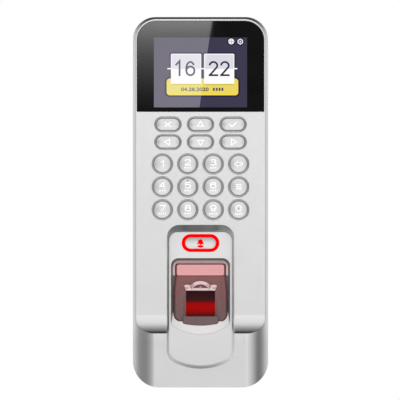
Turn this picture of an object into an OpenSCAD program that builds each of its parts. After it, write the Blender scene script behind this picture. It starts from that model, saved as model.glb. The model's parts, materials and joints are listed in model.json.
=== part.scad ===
// Wall-mounted access terminal with a colour display, a keypad, a lit doorbell
// button and an optical finger reader.
// Frame: X across, -Y towards the user, +Z up. The wall is the plane Y = 0 and the
// origin is the middle of the wall plate's back face, halfway up the terminal.

/* [Body] */
// overall width
body_w = 71.3; // [68:0.1:76]
// overall height
body_h = 195; // [180:1:210]
// corner radius at the top of the body
top_corner_r = 12.6; // [8:0.1:16]
// corner radius at the foot of the body
foot_corner_r = 14; // [8:0.1:18]
// rounding of the housing's long front edges
edge_r = 12; // [8:0.5:13]
// wall thickness of the housing
wall_t = 2.2; // [1.6:0.1:3]
// wall thickness of the rear cover
cover_t = 2.6; // [2:0.1:3.5]
// how far the rear cover stands inside the housing's outline
cover_inset = 0.8; // [0.4:0.1:1.5]

/* [Depths from the wall] */
// joint between the rear cover and the housing
seam_d = 10; // [8:0.5:12]
// front face of the housing, seen below the fascia
chin_d = 24; // [22:0.5:26]
// front face of the finger reader's panel
panel_d = 29; // [27:0.5:31]
// front face of the fascia
face_d = 34; // [32:0.5:36]

/* [Fascia] */
// width of the fascia
fascia_w = 68.1; // [64:0.1:70]
// top edge of the fascia
fascia_top = 96.1; // [94:0.1:97]
// bottom edge of the fascia
fascia_foot = -68.7; // [-72:0.1:-66]
// corner radius at the fascia's top
fascia_top_r = 11; // [8:0.1:13]
// corner radius at the fascia's foot
fascia_foot_r = 9; // [6:0.1:12]
// radius of the roll along the fascia's foot
roll_r = 10; // [8:0.5:10]
// thickness of the fascia
fascia_t = 2.4; // [1.8:0.1:3]

/* [Display] */
// width of the display lens
lens_w = 66.8; // [64:0.1:67.2]
// top edge of the lens
lens_top = 95.2; // [94:0.1:95.4]
// bottom edge of the lens
lens_foot = 47.8; // [46:0.1:50]
// radius of the lens's top corners
lens_r = 10.1; // [8:0.1:12]
// thickness of the lens
lens_t = 1.2; // [0.8:0.1:1.6]
// height of the display's centre
lcd_z = 68.1; // [66:0.1:70]
// outline width of the display cell
lcd_w = 60; // [58:0.1:61]
// outline height of the display cell
lcd_h = 42.7; // [42:0.1:44]
// width of the lit area
lit_w = 48.96; // [48:0.01:50]
// height of the lit area
lit_h = 36.72; // [36:0.01:38]

/* [Keys] */
// spacing of the oval keys across
oval_pitch_x = 17.1; // [16:0.1:18]
// spacing of the oval keys up and down
oval_pitch_z = 9.25; // [9:0.05:10]
// height of the upper row of oval keys
oval_top_z = 40.8; // [40:0.1:42]
// width of an oval key
oval_w = 12.1; // [11:0.1:13]
// height of an oval key
oval_h = 6.1; // [5.5:0.1:6.5]
// spacing of the round keys across
round_pitch_x = 13.35; // [13:0.05:14]
// spacing of the round keys up and down
round_pitch_z = 12.02; // [11.8:0.01:12.4]
// height of the upper row of round keys
round_top_z = 20.05; // [19:0.05:21]
// diameter of a round key
round_d = 8.9; // [8:0.1:9.2]
// width of the collar that shows round each key
collar_t = 0.85; // [0.6:0.05:1]
// gap between a key and its collar
key_gap = 0.2; // [0.15:0.05:0.3]
// how far the keys stand out of the fascia
key_proud = 0.6; // [0.3:0.1:1]
// travel of a key
key_travel = 0.8; // [0.5:0.1:0.9]

/* [Finger reader] */
// half width of the reader panel's face
panel_half = 16.25; // [15:0.05:17]
// half width of the panel where it meets the housing
panel_base_half = 17.8; // [17:0.05:18.5]
// top edge of the panel's face
panel_top = -15.6; // [-17:0.1:-15]
// lowest point of the panel's face
panel_foot = -85.9; // [-88:0.1:-84]
// half width of the recess at the fascia's face
recess_half = 17.65; // [17:0.05:18.5]
// top of the recess at the fascia's face
recess_top = -11.8; // [-13:0.1:-11]
// height of the doorbell button's centre
bell_z = -21.5; // [-22:0.1:-21]
// width of the doorbell's light ring
bell_ring_w = 19.5; // [18:0.1:21]
// height of the doorbell's light ring
bell_ring_h = 9.2; // [8.5:0.1:10]
// width of the doorbell button
bell_w = 16.1; // [15:0.1:17]
// height of the doorbell button
bell_h = 6; // [5.5:0.1:6.5]
// travel of the doorbell button
bell_travel = 0.7; // [0.5:0.1:0.8]
// half width of the finger well at its mouth
well_half = 14.8; // [14:0.1:15.2]
// top of the finger well at its mouth
well_top = -29.5; // [-31:0.1:-29]
// lowest point of the finger well at its mouth
well_foot = -69.4; // [-71:0.1:-68]
// half width of the window the finger is pressed on
platen_half = 7.45; // [7:0.05:8]
// top of that window
platen_top = -46.5; // [-48:0.1:-45]
// foot of that window
platen_foot = -60; // [-61:0.1:-59]

/* [Wall plate] */
// spacing of the wall screws across
wall_hole_x = 40; // [30:1:44]
// spacing of the wall screws up and down
wall_hole_z = 110; // [90:1:120]
// radius of the wall screw holes
wall_hole_r = 2.2; // [2:0.1:2.6]
// thickness of the steel plate
plate_t = 1.2; // [1:0.1:1.5]

/* [Hidden] */
$fn = 64;
body_half = body_w / 2;
fascia_half = fascia_w / 2;
lens_half = lens_w / 2;
collar_room = key_gap + collar_t + 0.05;
key_face_d = face_d + key_proud;
guide_front = -face_d + fascia_t + 0.1;
guide_back = guide_front + 1;
flange_front = guide_back + 0.1;
flange_back = flange_front + 0.8;
mat_tip = flange_back + key_travel + 0.1;
mat_front = mat_tip + 0.9;
mat_back = mat_front + 0.8;
key_board_back = mat_back + 1.6;
keypad_half = 27.2;
keypad_foot = -9.9;
keypad_top = 45.3;
board_front = -16.6;
board_back = -15;
floor_in = -6;
floor_out = -4;
boss_x = 25;
boss_z = 86.5;
board_screw_x = 25.5;
key_post_x = 29.2;
tamper_x = -21.5;
tamper_z = -9.5;
speaker_z = -77.5;

// ---- shared shapes ----

// extrudes an outline drawn in X and Z from depth front to depth back
module slab(front, back) {
    translate([0, back, 0])
        rotate([90, 0, 0])
            linear_extrude(height = back - front)
                children();
}

// extrudes an outline drawn in Y and Z across the width
module across(w) {
    rotate([90, 0, 90])
        linear_extrude(height = w, center = true)
            children();
}

// upright panel outline with its own corner radius at each end
module panel_2d(half, low, high, r_low, r_high) {
    translate([-half, low + r_low])
        square([2 * half, high - low - r_low - r_high]);
    if (r_high > 0) {
        translate([-half + r_high, high - r_high - 0.01])
            square([2 * (half - r_high), r_high + 0.01]);
        for (s = [-1, 1])
            translate([s * (half - r_high), high - r_high])
                circle(r_high);
    }
    if (r_low > 0) {
        translate([-half + r_low, low])
            square([2 * (half - r_low), r_low + 0.01]);
        for (s = [-1, 1])
            translate([s * (half - r_low), low + r_low])
                circle(r_low);
    }
}

// a slot-shaped outline
module capsule_2d(w, h) {
    square([w - h, h], center = true);
    for (s = [-1, 1])
        translate([s * (w - h) / 2, 0])
            circle(d = h);
}

// an upright outline with rounded corners and a foot that bows downwards
module bowed_2d(half, top, top_r, foot, foot_r, bow_r) {
    swing = asin((half - foot_r) / (bow_r - foot_r));
    corner_z = foot + bow_r - (bow_r - foot_r) * cos(swing);
    polygon(concat(
        [for (i = [0 : 6])
            [half - top_r + top_r * cos(15 * i), top - top_r + top_r * sin(15 * i)]],
        [for (i = [0 : 6])
            [-half + top_r - top_r * sin(15 * i), top - top_r + top_r * cos(15 * i)]],
        [for (i = [0 : 6])
            [-half + foot_r - foot_r * cos((90 - swing) * i / 6),
                corner_z - foot_r * sin((90 - swing) * i / 6)]],
        [for (i = [-7 : 7])
            [bow_r * sin(swing * i / 8), foot + bow_r - bow_r * cos(swing * i / 8)]],
        [for (i = [6 : -1 : 0])
            [half - foot_r + foot_r * cos((90 - swing) * i / 6),
                corner_z - foot_r * sin((90 - swing) * i / 6)]]
    ));
}

// a flat block between two depths
module block(x1, x2, front, back, z1, z2) {
    translate([x1, front, z1])
        cube([x2 - x1, back - front, z2 - z1]);
}

// a round bar along Y
module rod(x, z, r, front, back) {
    translate([x, 0, z])
        slab(front, back)
            circle(r);
}

function round_x(col) = (col - 1.5) * round_pitch_x;
function round_z(row) = round_top_z - row * round_pitch_z;
function oval_x(col) = (col - 1) * oval_pitch_x;
function oval_z(row) = oval_top_z - row * oval_pitch_z;

// repeats its children at every round key
module at_round_keys() {
    for (row = [0 : 2])
        for (col = [0 : 3])
            translate([round_x(col), round_z(row)])
                children();
}

// repeats its children at every oval key
module at_oval_keys() {
    for (row = [0 : 1])
        for (col = [0 : 2])
            translate([oval_x(col), oval_z(row)])
                children();
}

// the housing's outer form, drawn inwards by inset
module housing_form(inset, front, back) {
    half = body_half - inset;
    r = edge_r - inset;
    intersection() {
        slab(front, back)
            panel_2d(half, -body_h / 2 + inset, body_h / 2 - inset,
                foot_corner_r - inset, top_corner_r - inset);
        translate([0, 0, -body_h])
            linear_extrude(height = 2 * body_h) {
                translate([-half, front + r])
                    square([2 * half, back - front - r]);
                translate([-half + r, front])
                    square([2 * (half - r), r + 0.01]);
                for (s = [-1, 1])
                    translate([s * (half - r), front + r])
                        circle(r);
            }
        across(2 * body_w) {
            translate([front + r, -body_h])
                square([back - front - r, 1.5 * body_h - inset]);
            translate([front, -body_h])
                square([r + 0.01, 1.5 * body_h - inset - r]);
            translate([front + r, body_h / 2 - inset - r])
                circle(r);
        }
    }
}

// the fascia's outer form with its rolled foot, drawn inwards by inset
module fascia_form(inset) {
    front = -face_d + inset;
    r = roll_r - inset;
    intersection() {
        slab(front, -15)
            panel_2d(fascia_half - inset, fascia_foot + inset, fascia_top - inset,
                fascia_foot_r - inset, fascia_top_r - inset);
        across(2 * body_w) {
            translate([front, fascia_foot + roll_r])
                square([40, 200]);
            translate([front + r, fascia_foot + inset])
                square([40, 200]);
            translate([front + r, fascia_foot + roll_r])
                circle(r);
        }
    }
}

// the recess in the fascia, narrowing towards the reader's panel
module finger_recess() {
    hull() {
        slab(-face_d - 0.2, -face_d)
            panel_2d(recess_half, fascia_foot - 5, recess_top, 0, 6.5, $fn = 32);
        slab(-panel_d - 0.02, -panel_d)
            panel_2d(panel_half + 0.1, fascia_foot - 5, panel_top + 0.1, 0, 4.6, $fn = 32);
    }
}

// the reader's panel as a raised tongue with sloping sides
module tongue(grow) {
    hull() {
        slab(-panel_d - grow, -panel_d + 0.05)
            bowed_2d(panel_half + grow, panel_top + grow, 4.5, panel_foot - grow, 6, 29);
        slab(-chin_d - 0.05, -chin_d)
            bowed_2d(panel_base_half + grow, panel_top + 1.6 + grow, 6, panel_foot - 1.7 - grow, 7, 30);
    }
}

// the finger well's outline below its sloping mouth
module well_floor_2d(grow) {
    bowed_2d(13.9 + grow, well_top - 1.1 + grow, 3.2, well_foot + 3.9 - grow, 3, 45);
}

// the finger well through the reader's panel
module well() {
    hull() {
        slab(-panel_d - 0.2, -panel_d)
            bowed_2d(well_half, well_top, 3.7, well_foot, 3, 25);
        slab(-26.05, -26)
            well_floor_2d(0);
    }
    slab(-26.2, -chin_d + 0.3)
        well_floor_2d(-0.01);
}

// ---- wall side ----

module plate_2d(grow) {
    panel_2d(26 + grow, -76 - grow, 78 + grow, 3, 5);
    translate([-9 - grow, -92 - grow])
        square([18 + 2 * grow, 20]);
}

module cable_window_2d(grow) {
    translate([0, 8])
        square([36 + 2 * grow, 52 + 2 * grow], center = true);
}

module wall_plate() {
    color("silver")
    difference() {
        union() {
            slab(-plate_t, 0)
                plate_2d(0);
            for (s = [-1, 1]) {
                block(s * 15 - 3, s * 15 + 3, -8.6, -0.6, 66, 67.2);
                block(s * 15 - 3, s * 15 + 3, -8.6, -7.4, 66, 70.5);
            }
            block(-6, 6, -7, -0.6, -91.6, -90.4);
        }
        slab(-plate_t - 1, 1)
            cable_window_2d(0);
        for (sx = [-1, 1])
            for (sz = [-1, 1])
                rod(sx * wall_hole_x / 2, sz * wall_hole_z / 2, wall_hole_r, -plate_t - 1, 1);
        rod(0, speaker_z, 5.5, -plate_t - 1, 1);
        translate([0, -4.2, -95])
            cylinder(h = 8, r = 1.5);
    }
}

module wall_plate_screw() {
    color("dimgray")
    difference() {
        union() {
            translate([0, -4.2, -96.2])
                cylinder(h = 1.6, r = 2.6);
            translate([0, -4.2, -94.7])
                cylinder(h = 5.6, r = 1.4);
        }
        translate([0, -4.2, -96.7])
            cylinder(h = 1.3, r = 1.1);
    }
}

module rear_cover() {
    inset = cover_inset + cover_t;
    color("darkslategray")
    difference() {
        slab(-seam_d + 0.05, -0.2)
            panel_2d(body_half - cover_inset, -body_h / 2 + cover_inset, body_h / 2 - cover_inset,
                foot_corner_r - cover_inset, top_corner_r - cover_inset);
        // room behind the boards
        slab(-seam_d - 1, floor_in)
            panel_2d(body_half - inset, -body_h / 2 + inset, body_h / 2 - inset,
                foot_corner_r - inset, top_corner_r - inset);
        // pocket for the wall plate
        slab(floor_out, 1)
            plate_2d(0.6);
        // groove for the seal
        difference() {
            slab(-seam_d - 1, -seam_d + 0.85)
                panel_2d(body_half - 1.5, -body_h / 2 + 1.5, body_h / 2 - 1.5,
                    foot_corner_r - 1.5, top_corner_r - 1.5);
            slab(-seam_d - 2, 0)
                panel_2d(body_half - 2.7, -body_h / 2 + 2.7, body_h / 2 - 2.7,
                    foot_corner_r - 2.7, top_corner_r - 2.7);
        }
        slab(floor_in - 1, floor_out + 1)
            cable_window_2d(0);
        // slots for the wall plate's hooks
        for (s = [-1, 1])
            block(s * 15 - 3.4, s * 15 + 3.4, floor_in - 1, floor_out + 1, 65.6, 71.4);
        // room for the wall plate's foot tab
        block(-7, 7, floor_in - 1, floor_out + 1, -92.6, -88.8);
        // way in for the locking screw
        translate([0, -4.2, -98])
            cylinder(h = 7, r = 1.7);
        translate([0, -4.2, -98])
            cylinder(h = 3.4, r = 2.9);
        for (sx = [-1, 1])
            for (sz = [-1, 1]) {
                rod(sx * boss_x, sz * boss_z, 1.7, floor_in - 1, 1);
                rod(sx * boss_x, sz * boss_z, 3.1, floor_out, 1);
            }
        rod(tamper_x, tamper_z, 1.7, floor_in - 1, floor_out + 1);
        // sound holes
        for (a = [0 : 60 : 300])
            rod(3 * cos(a), speaker_z + 3 * sin(a), 0.8, floor_in - 1, floor_out + 1);
        rod(0, speaker_z, 0.8, floor_in - 1, floor_out + 1);
    }
}

module cover_screws() {
    color("dimgray")
    for (sx = [-1, 1])
        for (sz = [-1, 1])
            difference() {
                union() {
                    rod(sx * boss_x, sz * boss_z, 2.7, floor_out, floor_out + 1.8);
                    rod(sx * boss_x, sz * boss_z, 1.4, -13, floor_out + 0.1);
                }
                rod(sx * boss_x, sz * boss_z, 1, floor_out + 0.8, floor_out + 3);
            }
}

module cover_seal() {
    color("black")
    difference() {
        slab(-seam_d + 0.06, -seam_d + 0.84)
            panel_2d(body_half - 1.6, -body_h / 2 + 1.6, body_h / 2 - 1.6,
                foot_corner_r - 1.6, top_corner_r - 1.6);
        slab(-seam_d - 1, -seam_d + 2)
            panel_2d(body_half - 2.6, -body_h / 2 + 2.6, body_h / 2 - 2.6,
                foot_corner_r - 2.6, top_corner_r - 2.6);
    }
}

// ---- housing and fascia ----

module main_housing() {
    color("lightgray")
    difference() {
        union() {
            difference() {
                housing_form(0, -chin_d, -seam_d);
                housing_form(wall_t, -chin_d + wall_t, -seam_d + 5);
            }
            // posts for the rear cover's screws
            for (sx = [-1, 1])
                for (sz = [-1, 1])
                    rod(sx * boss_x, sz * boss_z, 3, -chin_d + 1, floor_in - 0.1);
            // posts for the main board
            for (sx = [-1, 1])
                for (z = [74, -16])
                    rod(sx * board_screw_x, z, 2.4, -chin_d + 1, board_front);
            // posts behind the display
            for (sx = [-1, 1])
                for (z = [51, 86])
                    rod(sx * 25, z, 2, -28.5, -chin_d + 1);
        }
        for (sx = [-1, 1])
            for (sz = [-1, 1])
                rod(sx * boss_x, sz * boss_z, 1.45, -14, 0);
        for (sx = [-1, 1])
            for (z = [74, -16])
                rod(sx * board_screw_x, z, 1.1, -21.5, board_back);
        // slot for the display's ribbon
        block(-9, 9, -chin_d - 1, -chin_d + wall_t + 1, 46.4, 50);
        // slot for the keypad's ribbon
        block(12, 24, -chin_d - 1, -chin_d + wall_t + 1, -6, -1.5);
        // opening for the finger reader
        slab(-chin_d - 1, -chin_d + wall_t + 1)
            panel_2d(14.6, -69, -16, 2, 2);
    }
}

module front_fascia() {
    color("whitesmoke")
    difference() {
        union() {
            difference() {
                fascia_form(0);
                fascia_form(fascia_t);
            }
            // wall round the reader's recess
            intersection() {
                fascia_form(0);
                slab(-face_d, -chin_d + 0.5)
                    panel_2d(recess_half + 1.7, fascia_foot - 5, recess_top + 1.6, 0, 7.5);
            }
            // posts for the keypad's board
            for (sx = [-1, 1])
                for (z = [43.2, -7.4])
                    rod(sx * key_post_x, z, 1.9, -face_d + 1, mat_back - 0.05);
        }
        housing_form(-0.05, -chin_d - 0.05, 0);
        finger_recess();
        tongue(0.1);
        // seat and window of the display
        slab(-face_d - 1, -face_d + lens_t + 0.2)
            panel_2d(lens_half + 0.05, lens_foot - 0.05, lens_top + 0.05, 0.4, lens_r);
        translate([0, 0, lcd_z])
            block(-lcd_w / 2 - 0.7, lcd_w / 2 + 0.7, -face_d + lens_t + 0.15, -25,
                -lcd_h / 2 - 0.9, lcd_h / 2 + 0.9);
        slab(-face_d - 1, -face_d + fascia_t + 1) {
            at_round_keys()
                circle(d = round_d + 2 * collar_room);
            at_oval_keys()
                capsule_2d(oval_w + 2 * collar_room, oval_h + 2 * collar_room);
        }
        for (sx = [-1, 1])
            for (z = [43.2, -7.4])
                rod(sx * key_post_x, z, 0.95, -31, -20);
    }
}

// ---- display ----

module display_lens() {
    color("black")
    slab(-face_d, -face_d + lens_t)
        panel_2d(lens_half, lens_foot, lens_top, 0.35, lens_r);
}

module lens_tape() {
    color("dimgray")
    difference() {
        slab(-face_d + lens_t, -face_d + lens_t + 0.18)
            panel_2d(lens_half - 0.4, lens_foot + 0.4, lens_top - 0.4, 0.3, lens_r - 0.4);
        translate([0, 0, lcd_z])
            block(-lit_w / 2 - 0.4, lit_w / 2 + 0.4, -40, -25, -lit_h / 2 - 0.4, lit_h / 2 + 0.4);
    }
}

module lcd_cell() {
    color("slategray")
    translate([0, 0, lcd_z])
        block(-lcd_w / 2, lcd_w / 2, -32.6, -31, -lcd_h / 2, lcd_h / 2);
}

module lcd_backlight() {
    color("silver")
    translate([0, 0, lcd_z])
        union() {
            block(-lcd_w / 2, lcd_w / 2, -31, -28.6, -lcd_h / 2, lcd_h / 2);
            // rim that holds the cell
            difference() {
                block(-lcd_w / 2 - 0.4, lcd_w / 2 + 0.4, -32, -28.6, -lcd_h / 2 - 0.4, lcd_h / 2 + 0.4);
                block(-lcd_w / 2, lcd_w / 2, -33, -30, -lcd_h / 2, lcd_h / 2);
            }
        }
}

module lcd_ribbon() {
    color("orange")
    union() {
        block(-8, 8, -28.5, -28.3, 48, 60);
        block(-8, 8, -28.5, -18.6, 48, 48.2);
        block(-8, 8, -18.8, -18.6, 44, 48.2);
    }
}

// ---- keypad ----

module key_guide() {
    color("gray")
    difference() {
        union() {
            slab(guide_front, guide_back)
                panel_2d(keypad_half, keypad_foot, keypad_top, 2, 2);
            slab(-face_d + 0.5, guide_back) {
                at_round_keys()
                    circle(d = round_d + 2 * (key_gap + collar_t));
                at_oval_keys()
                    capsule_2d(oval_w + 2 * (key_gap + collar_t), oval_h + 2 * (key_gap + collar_t));
            }
        }
        slab(-face_d - 1, guide_back + 1) {
            at_round_keys()
                circle(d = round_d + 2 * key_gap);
            at_oval_keys()
                capsule_2d(oval_w + 2 * key_gap, oval_h + 2 * key_gap);
        }
    }
}

module keypad_mat() {
    color("lightgray")
    difference() {
        union() {
            slab(mat_front, mat_back)
                panel_2d(keypad_half, keypad_foot, keypad_top, 2, 2);
            slab(mat_tip, mat_front + 0.01) {
                at_round_keys()
                    circle(2.4);
                at_oval_keys()
                    circle(2.4);
            }
        }
        slab(mat_back - 0.4, mat_back + 1) {
            at_round_keys()
                circle(2.9);
            at_oval_keys()
                circle(2.9);
        }
    }
}

module key_dome() {
    translate([0, mat_back, 0])
        rotate([90, 0, 0])
            cylinder(h = 0.35, r1 = 2.6, r2 = 1.6);
}

module key_domes() {
    color("gold") {
        for (row = [0 : 2])
            for (col = [0 : 3])
                translate([round_x(col), 0, round_z(row)])
                    key_dome();
        for (row = [0 : 1])
            for (col = [0 : 2])
                translate([oval_x(col), 0, oval_z(row)])
                    key_dome();
    }
}

module key_board() {
    color("darkgreen")
    difference() {
        union() {
            slab(mat_back, key_board_back)
                panel_2d(31.2, keypad_foot, keypad_top, 1, 1);
            // ribbon connector
            block(13, 23, key_board_back - 0.01, key_board_back + 1, -6.5, -2.5);
        }
        for (sx = [-1, 1])
            for (z = [43.2, -7.4])
                rod(sx * key_post_x, z, 1.2, mat_front, key_board_back + 1);
    }
}

module key_board_screws() {
    color("silver")
    for (sx = [-1, 1])
        for (z = [43.2, -7.4]) {
            rod(sx * key_post_x, z, 0.9, -30.5, key_board_back + 0.05);
            rod(sx * key_post_x, z, 1.8, key_board_back, key_board_back + 0.8);
        }
}

module key_ribbon() {
    color("orange")
    union() {
        block(14, 22, key_board_back + 1, key_board_back + 1.2, -4.4, -3);
        block(14, 22, key_board_back + 1, -18.6, -4.4, -4.2);
        block(14, 22, -18.8, -18.6, -8, -4.2);
    }
}

// a round key: domed cap, stem and a flange behind its guide
module round_key(col, row) {
    x = round_x(col);
    z = round_z(row);
    union() {
        translate([x, -key_face_d + 0.4, z])
            rotate([90, 0, 0])
                cylinder(h = 0.4, r1 = round_d / 2, r2 = round_d / 2 - 0.5);
        rod(x, z, round_d / 2, -key_face_d + 0.4, flange_front + 0.01);
        rod(x, z, round_d / 2 + 0.8, flange_front, flange_back);
    }
}

// an oval key, built the same way
module oval_key(col, row) {
    translate([oval_x(col), 0, oval_z(row)])
        union() {
            slab(-key_face_d, -key_face_d + 0.41)
                capsule_2d(oval_w - 0.6, oval_h - 0.6);
            slab(-key_face_d + 0.4, flange_front + 0.01)
                capsule_2d(oval_w, oval_h);
            slab(flange_front, flange_back)
                capsule_2d(oval_w + 1.6, oval_h + 1.6);
        }
}

module key_cancel() {
    color("whitesmoke") oval_key(0, 0);
}

module key_up() {
    color("whitesmoke") oval_key(1, 0);
}

module key_enter() {
    color("whitesmoke") oval_key(2, 0);
}

module key_left() {
    color("whitesmoke") oval_key(0, 1);
}

module key_down() {
    color("whitesmoke") oval_key(1, 1);
}

module key_right() {
    color("whitesmoke") oval_key(2, 1);
}

module key_1() {
    color("whitesmoke") round_key(0, 0);
}

module key_2() {
    color("whitesmoke") round_key(1, 0);
}

module key_3() {
    color("whitesmoke") round_key(2, 0);
}

module key_back() {
    color("whitesmoke") round_key(3, 0);
}

module key_4() {
    color("whitesmoke") round_key(0, 1);
}

module key_5() {
    color("whitesmoke")
    union() {
        round_key(1, 1);
        // locating pip
        rod(round_x(1), round_z(1) + 3.3, 0.35, -key_face_d - 0.15, -key_face_d + 0.1);
    }
}

module key_6() {
    color("whitesmoke") round_key(2, 1);
}

module key_menu() {
    color("whitesmoke") round_key(3, 1);
}

module key_7() {
    color("whitesmoke") round_key(0, 2);
}

module key_8() {
    color("whitesmoke") round_key(1, 2);
}

module key_9() {
    color("whitesmoke") round_key(2, 2);
}

module key_0() {
    color("whitesmoke") round_key(3, 2);
}

// ---- electronics ----

module main_board() {
    color("darkgreen")
    difference() {
        union() {
            slab(board_front, board_back)
                panel_2d(29, -22, 79, 1, 1);
            // ribbon connectors
            block(-9, 9, board_front - 2, board_front + 0.01, 43.5, 47);
            block(13, 23, board_front - 2, board_front + 0.01, -8.5, -5);
        }
        for (sx = [-1, 1])
            for (z = [74, -16])
                rod(sx * board_screw_x, z, 1.3, board_front - 1, 0);
    }
}

module board_screws() {
    color("silver")
    for (sx = [-1, 1])
        for (z = [74, -16]) {
            rod(sx * board_screw_x, z, 1, -21, board_back + 0.05);
            rod(sx * board_screw_x, z, 2.2, board_back, board_back + 1.4);
        }
}

module board_chips() {
    color("black") {
        block(-7, 7, board_front - 1.3, board_front, 18, 32);
        block(-22, -13, board_front - 1.1, board_front, 20, 32);
        block(-22, -15, board_front - 1.1, board_front, 4, 10);
        block(-6, 2, board_front - 1.5, board_front, 2, 8);
        block(-24, -18, board_back, board_back + 1.5, 30, 36);
    }
}

module shield_can() {
    color("silver")
    difference() {
        block(-24, -2, board_front - 3, board_front, 52, 70);
        block(-23.7, -2.3, board_front - 2.7, board_front + 1, 52.3, 69.7);
    }
}

module capacitors() {
    color("navy")
    for (z = [46, 54, 62])
        rod(-22, z, 3.1, board_back, board_back + 6.6);
}

module relay() {
    color("royalblue")
    block(6, 21, board_back, board_back + 8, 44, 63);
}

module coin_cell() {
    color("silver")
    union() {
        rod(17, 25, 6.2, board_front - 3, board_front - 0.6);
        block(9.5, 24.5, board_front - 0.6, board_front, 22, 28);
    }
}

module speaker() {
    color("black")
    union() {
        rod(0, speaker_z, 7.6, -12, -7.6);
        rod(0, speaker_z, 5.2, -13.6, -11.9);
        difference() {
            rod(0, speaker_z, 7.6, -7.61, floor_in - 0.02);
            rod(0, speaker_z, 6.4, -7.7, 0);
        }
    }
}

module network_jack() {
    color("silver")
    difference() {
        block(-17, -1, board_back, -3.6, 2.6, 17.4);
        block(-14.9, -3.1, -13, -3, 5.6, 14);
        block(-12, -6, -13, -3, 4, 6);
    }
}

module terminal_header() {
    color("green")
    difference() {
        block(3, 14.5, board_back, -5.2, -13, 29);
        for (i = [0 : 9]) {
            rod(6, -10.5 + i * 4.1, 1.3, -12, -4);
            block(9.4, 13.2, -13, -4, -11.9 + i * 4.1, -9.1 + i * 4.1);
        }
    }
}

module tamper_switch() {
    color("black")
    difference() {
        block(tamper_x - 3.5, tamper_x + 3.5, board_back, -7.6, tamper_z - 3.5, tamper_z + 3.5);
        rod(tamper_x, tamper_z, 1.35, -13.5, -7);
        rod(tamper_x, tamper_z, 2.3, -13.5, -9);
    }
}

module tamper_plunger() {
    color("ivory")
    union() {
        rod(tamper_x, tamper_z, 1.25, -10.2, -plate_t - 0.1);
        rod(tamper_x, tamper_z, 2, -10.2, -9.2);
    }
}

module card_antenna() {
    color("darkolivegreen")
    difference() {
        slab(-21.6, -20.8)
            panel_2d(21, 50, 86, 2, 2);
        slab(-22, -20)
            panel_2d(16, 55, 81, 1, 1);
    }
}

// ---- finger reader and doorbell ----

module sensor_panel() {
    color("gainsboro")
    difference() {
        union() {
            difference() {
                tongue(0);
                slab(-panel_d + 2, -chin_d + 1)
                    panel_2d(14.9, -28, -17.4, 0.5, 2);
                slab(-panel_d + 2, -chin_d + 1)
                    panel_2d(13.5, -83, -71.5, 4, 0.5);
            }
            // posts for the doorbell's board
            for (s = [-1, 1])
                rod(s * 12.3, bell_z, 1.1, -panel_d + 1, -23.7);
        }
        well();
        translate([0, 0, bell_z])
            slab(-panel_d - 1, -panel_d + 3)
                capsule_2d(bell_ring_w + 0.1, bell_ring_h + 0.1);
    }
}

module bell_ring() {
    color("red")
    translate([0, 0, bell_z])
        difference() {
            union() {
                slab(-panel_d - 0.1, -panel_d + 2.6)
                    capsule_2d(bell_ring_w, bell_ring_h);
                slab(-panel_d + 2.05, -panel_d + 2.6)
                    capsule_2d(bell_ring_w + 1.6, bell_ring_h - 1.4);
            }
            slab(-panel_d - 1, -panel_d + 3)
                capsule_2d(bell_w + 0.4, bell_h + 0.4);
        }
}

module bell_button() {
    color("gainsboro")
    translate([0, 0, bell_z])
        difference() {
            union() {
                slab(-panel_d, -panel_d + 3)
                    capsule_2d(bell_w, bell_h);
                slab(-panel_d + 2.75, -panel_d + 3.4)
                    capsule_2d(bell_w + 1.4, bell_h + 1.4);
            }
            slab(-panel_d - 1, -panel_d + 0.3)
                capsule_2d(bell_w - 1.6, bell_h - 1.6);
        }
}

module bell_board() {
    color("darkgreen")
    union() {
        slab(-23.65, -22.3)
            panel_2d(13.6, -27.2, -16.5, 0.5, 0.5);
        // push switch and ring lamps
        translate([0, 0, bell_z])
            block(-3, 3, -24.3, -23.6, -2, 2);
        rod(0, bell_z, 1.2, -24.8, -24.2);
        for (s = [-1, 1])
            translate([s * 9, 0, bell_z])
                block(-1, 1, -24.6, -23.6, -1, 1);
    }
}

module sensor_cowl() {
    color("rosybrown", 0.7)
    difference() {
        union() {
            slab(-26, -22)
                panel_2d(13.7, -62.7, -31, 4, 2.9);
            // lip below the window
            slab(-26.6, -24.4)
                bowed_2d(9.85, platen_foot + 3, 0.5, -64.9, 1, 42);
            // stop for the fingertip
            slab(-27.6, -25.9)
                difference() {
                    intersection() {
                        translate([0, -46.6])
                            circle(5.4);
                        translate([-6, -45.8])
                            square([12, 6]);
                    }
                    intersection() {
                        translate([0, -47.4])
                            circle(4.2);
                        translate([-6, -45])
                            square([12, 6]);
                    }
                }
            for (s = [-1, 1])
                block(s * 6.9 - 1.6, s * 6.9 + 1.6, -27.4, -25.9, -46.4, -43.4);
        }
        slab(-28, -20)
            panel_2d(12.55, -38.6, -32.8, 0.8, 0.8);
        slab(-28, -20)
            panel_2d(platen_half, platen_foot, platen_top, 0.6, 0.6);
        slab(-24.4, -20)
            panel_2d(12.3, -61.4, -40.2, 2.6, 0.6);
    }
}

module light_bar() {
    color("pink")
    slab(-27, -23.4)
        panel_2d(12.45, -38.5, -32.9, 0.7, 0.7);
}

module finger_prism() {
    color("maroon", 0.8)
    across(17.2)
        polygon([[-24.25, -45.5], [-23.4, -61.2], [-13.2, -61.2], [-13.2, -59.8], [-22.4, -45.5]]);
}

module sensor_lamps() {
    color("red")
    union() {
        block(-7.5, 7.5, -21.5, -16.5, -64.6, -63.8);
        for (i = [-1.5 : 1 : 1.5])
            translate([i * 3.6, -19, -63.81])
                cylinder(h = 2.2, r = 1.3);
    }
}

module lens_barrel() {
    color("black")
    difference() {
        union() {
            rod(0, -47, 4, -15.4, -9.6);
            rod(0, -47, 5.4, -12.2, -9.6);
        }
        rod(0, -47, 2.4, -16, -14.4);
    }
}

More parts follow.
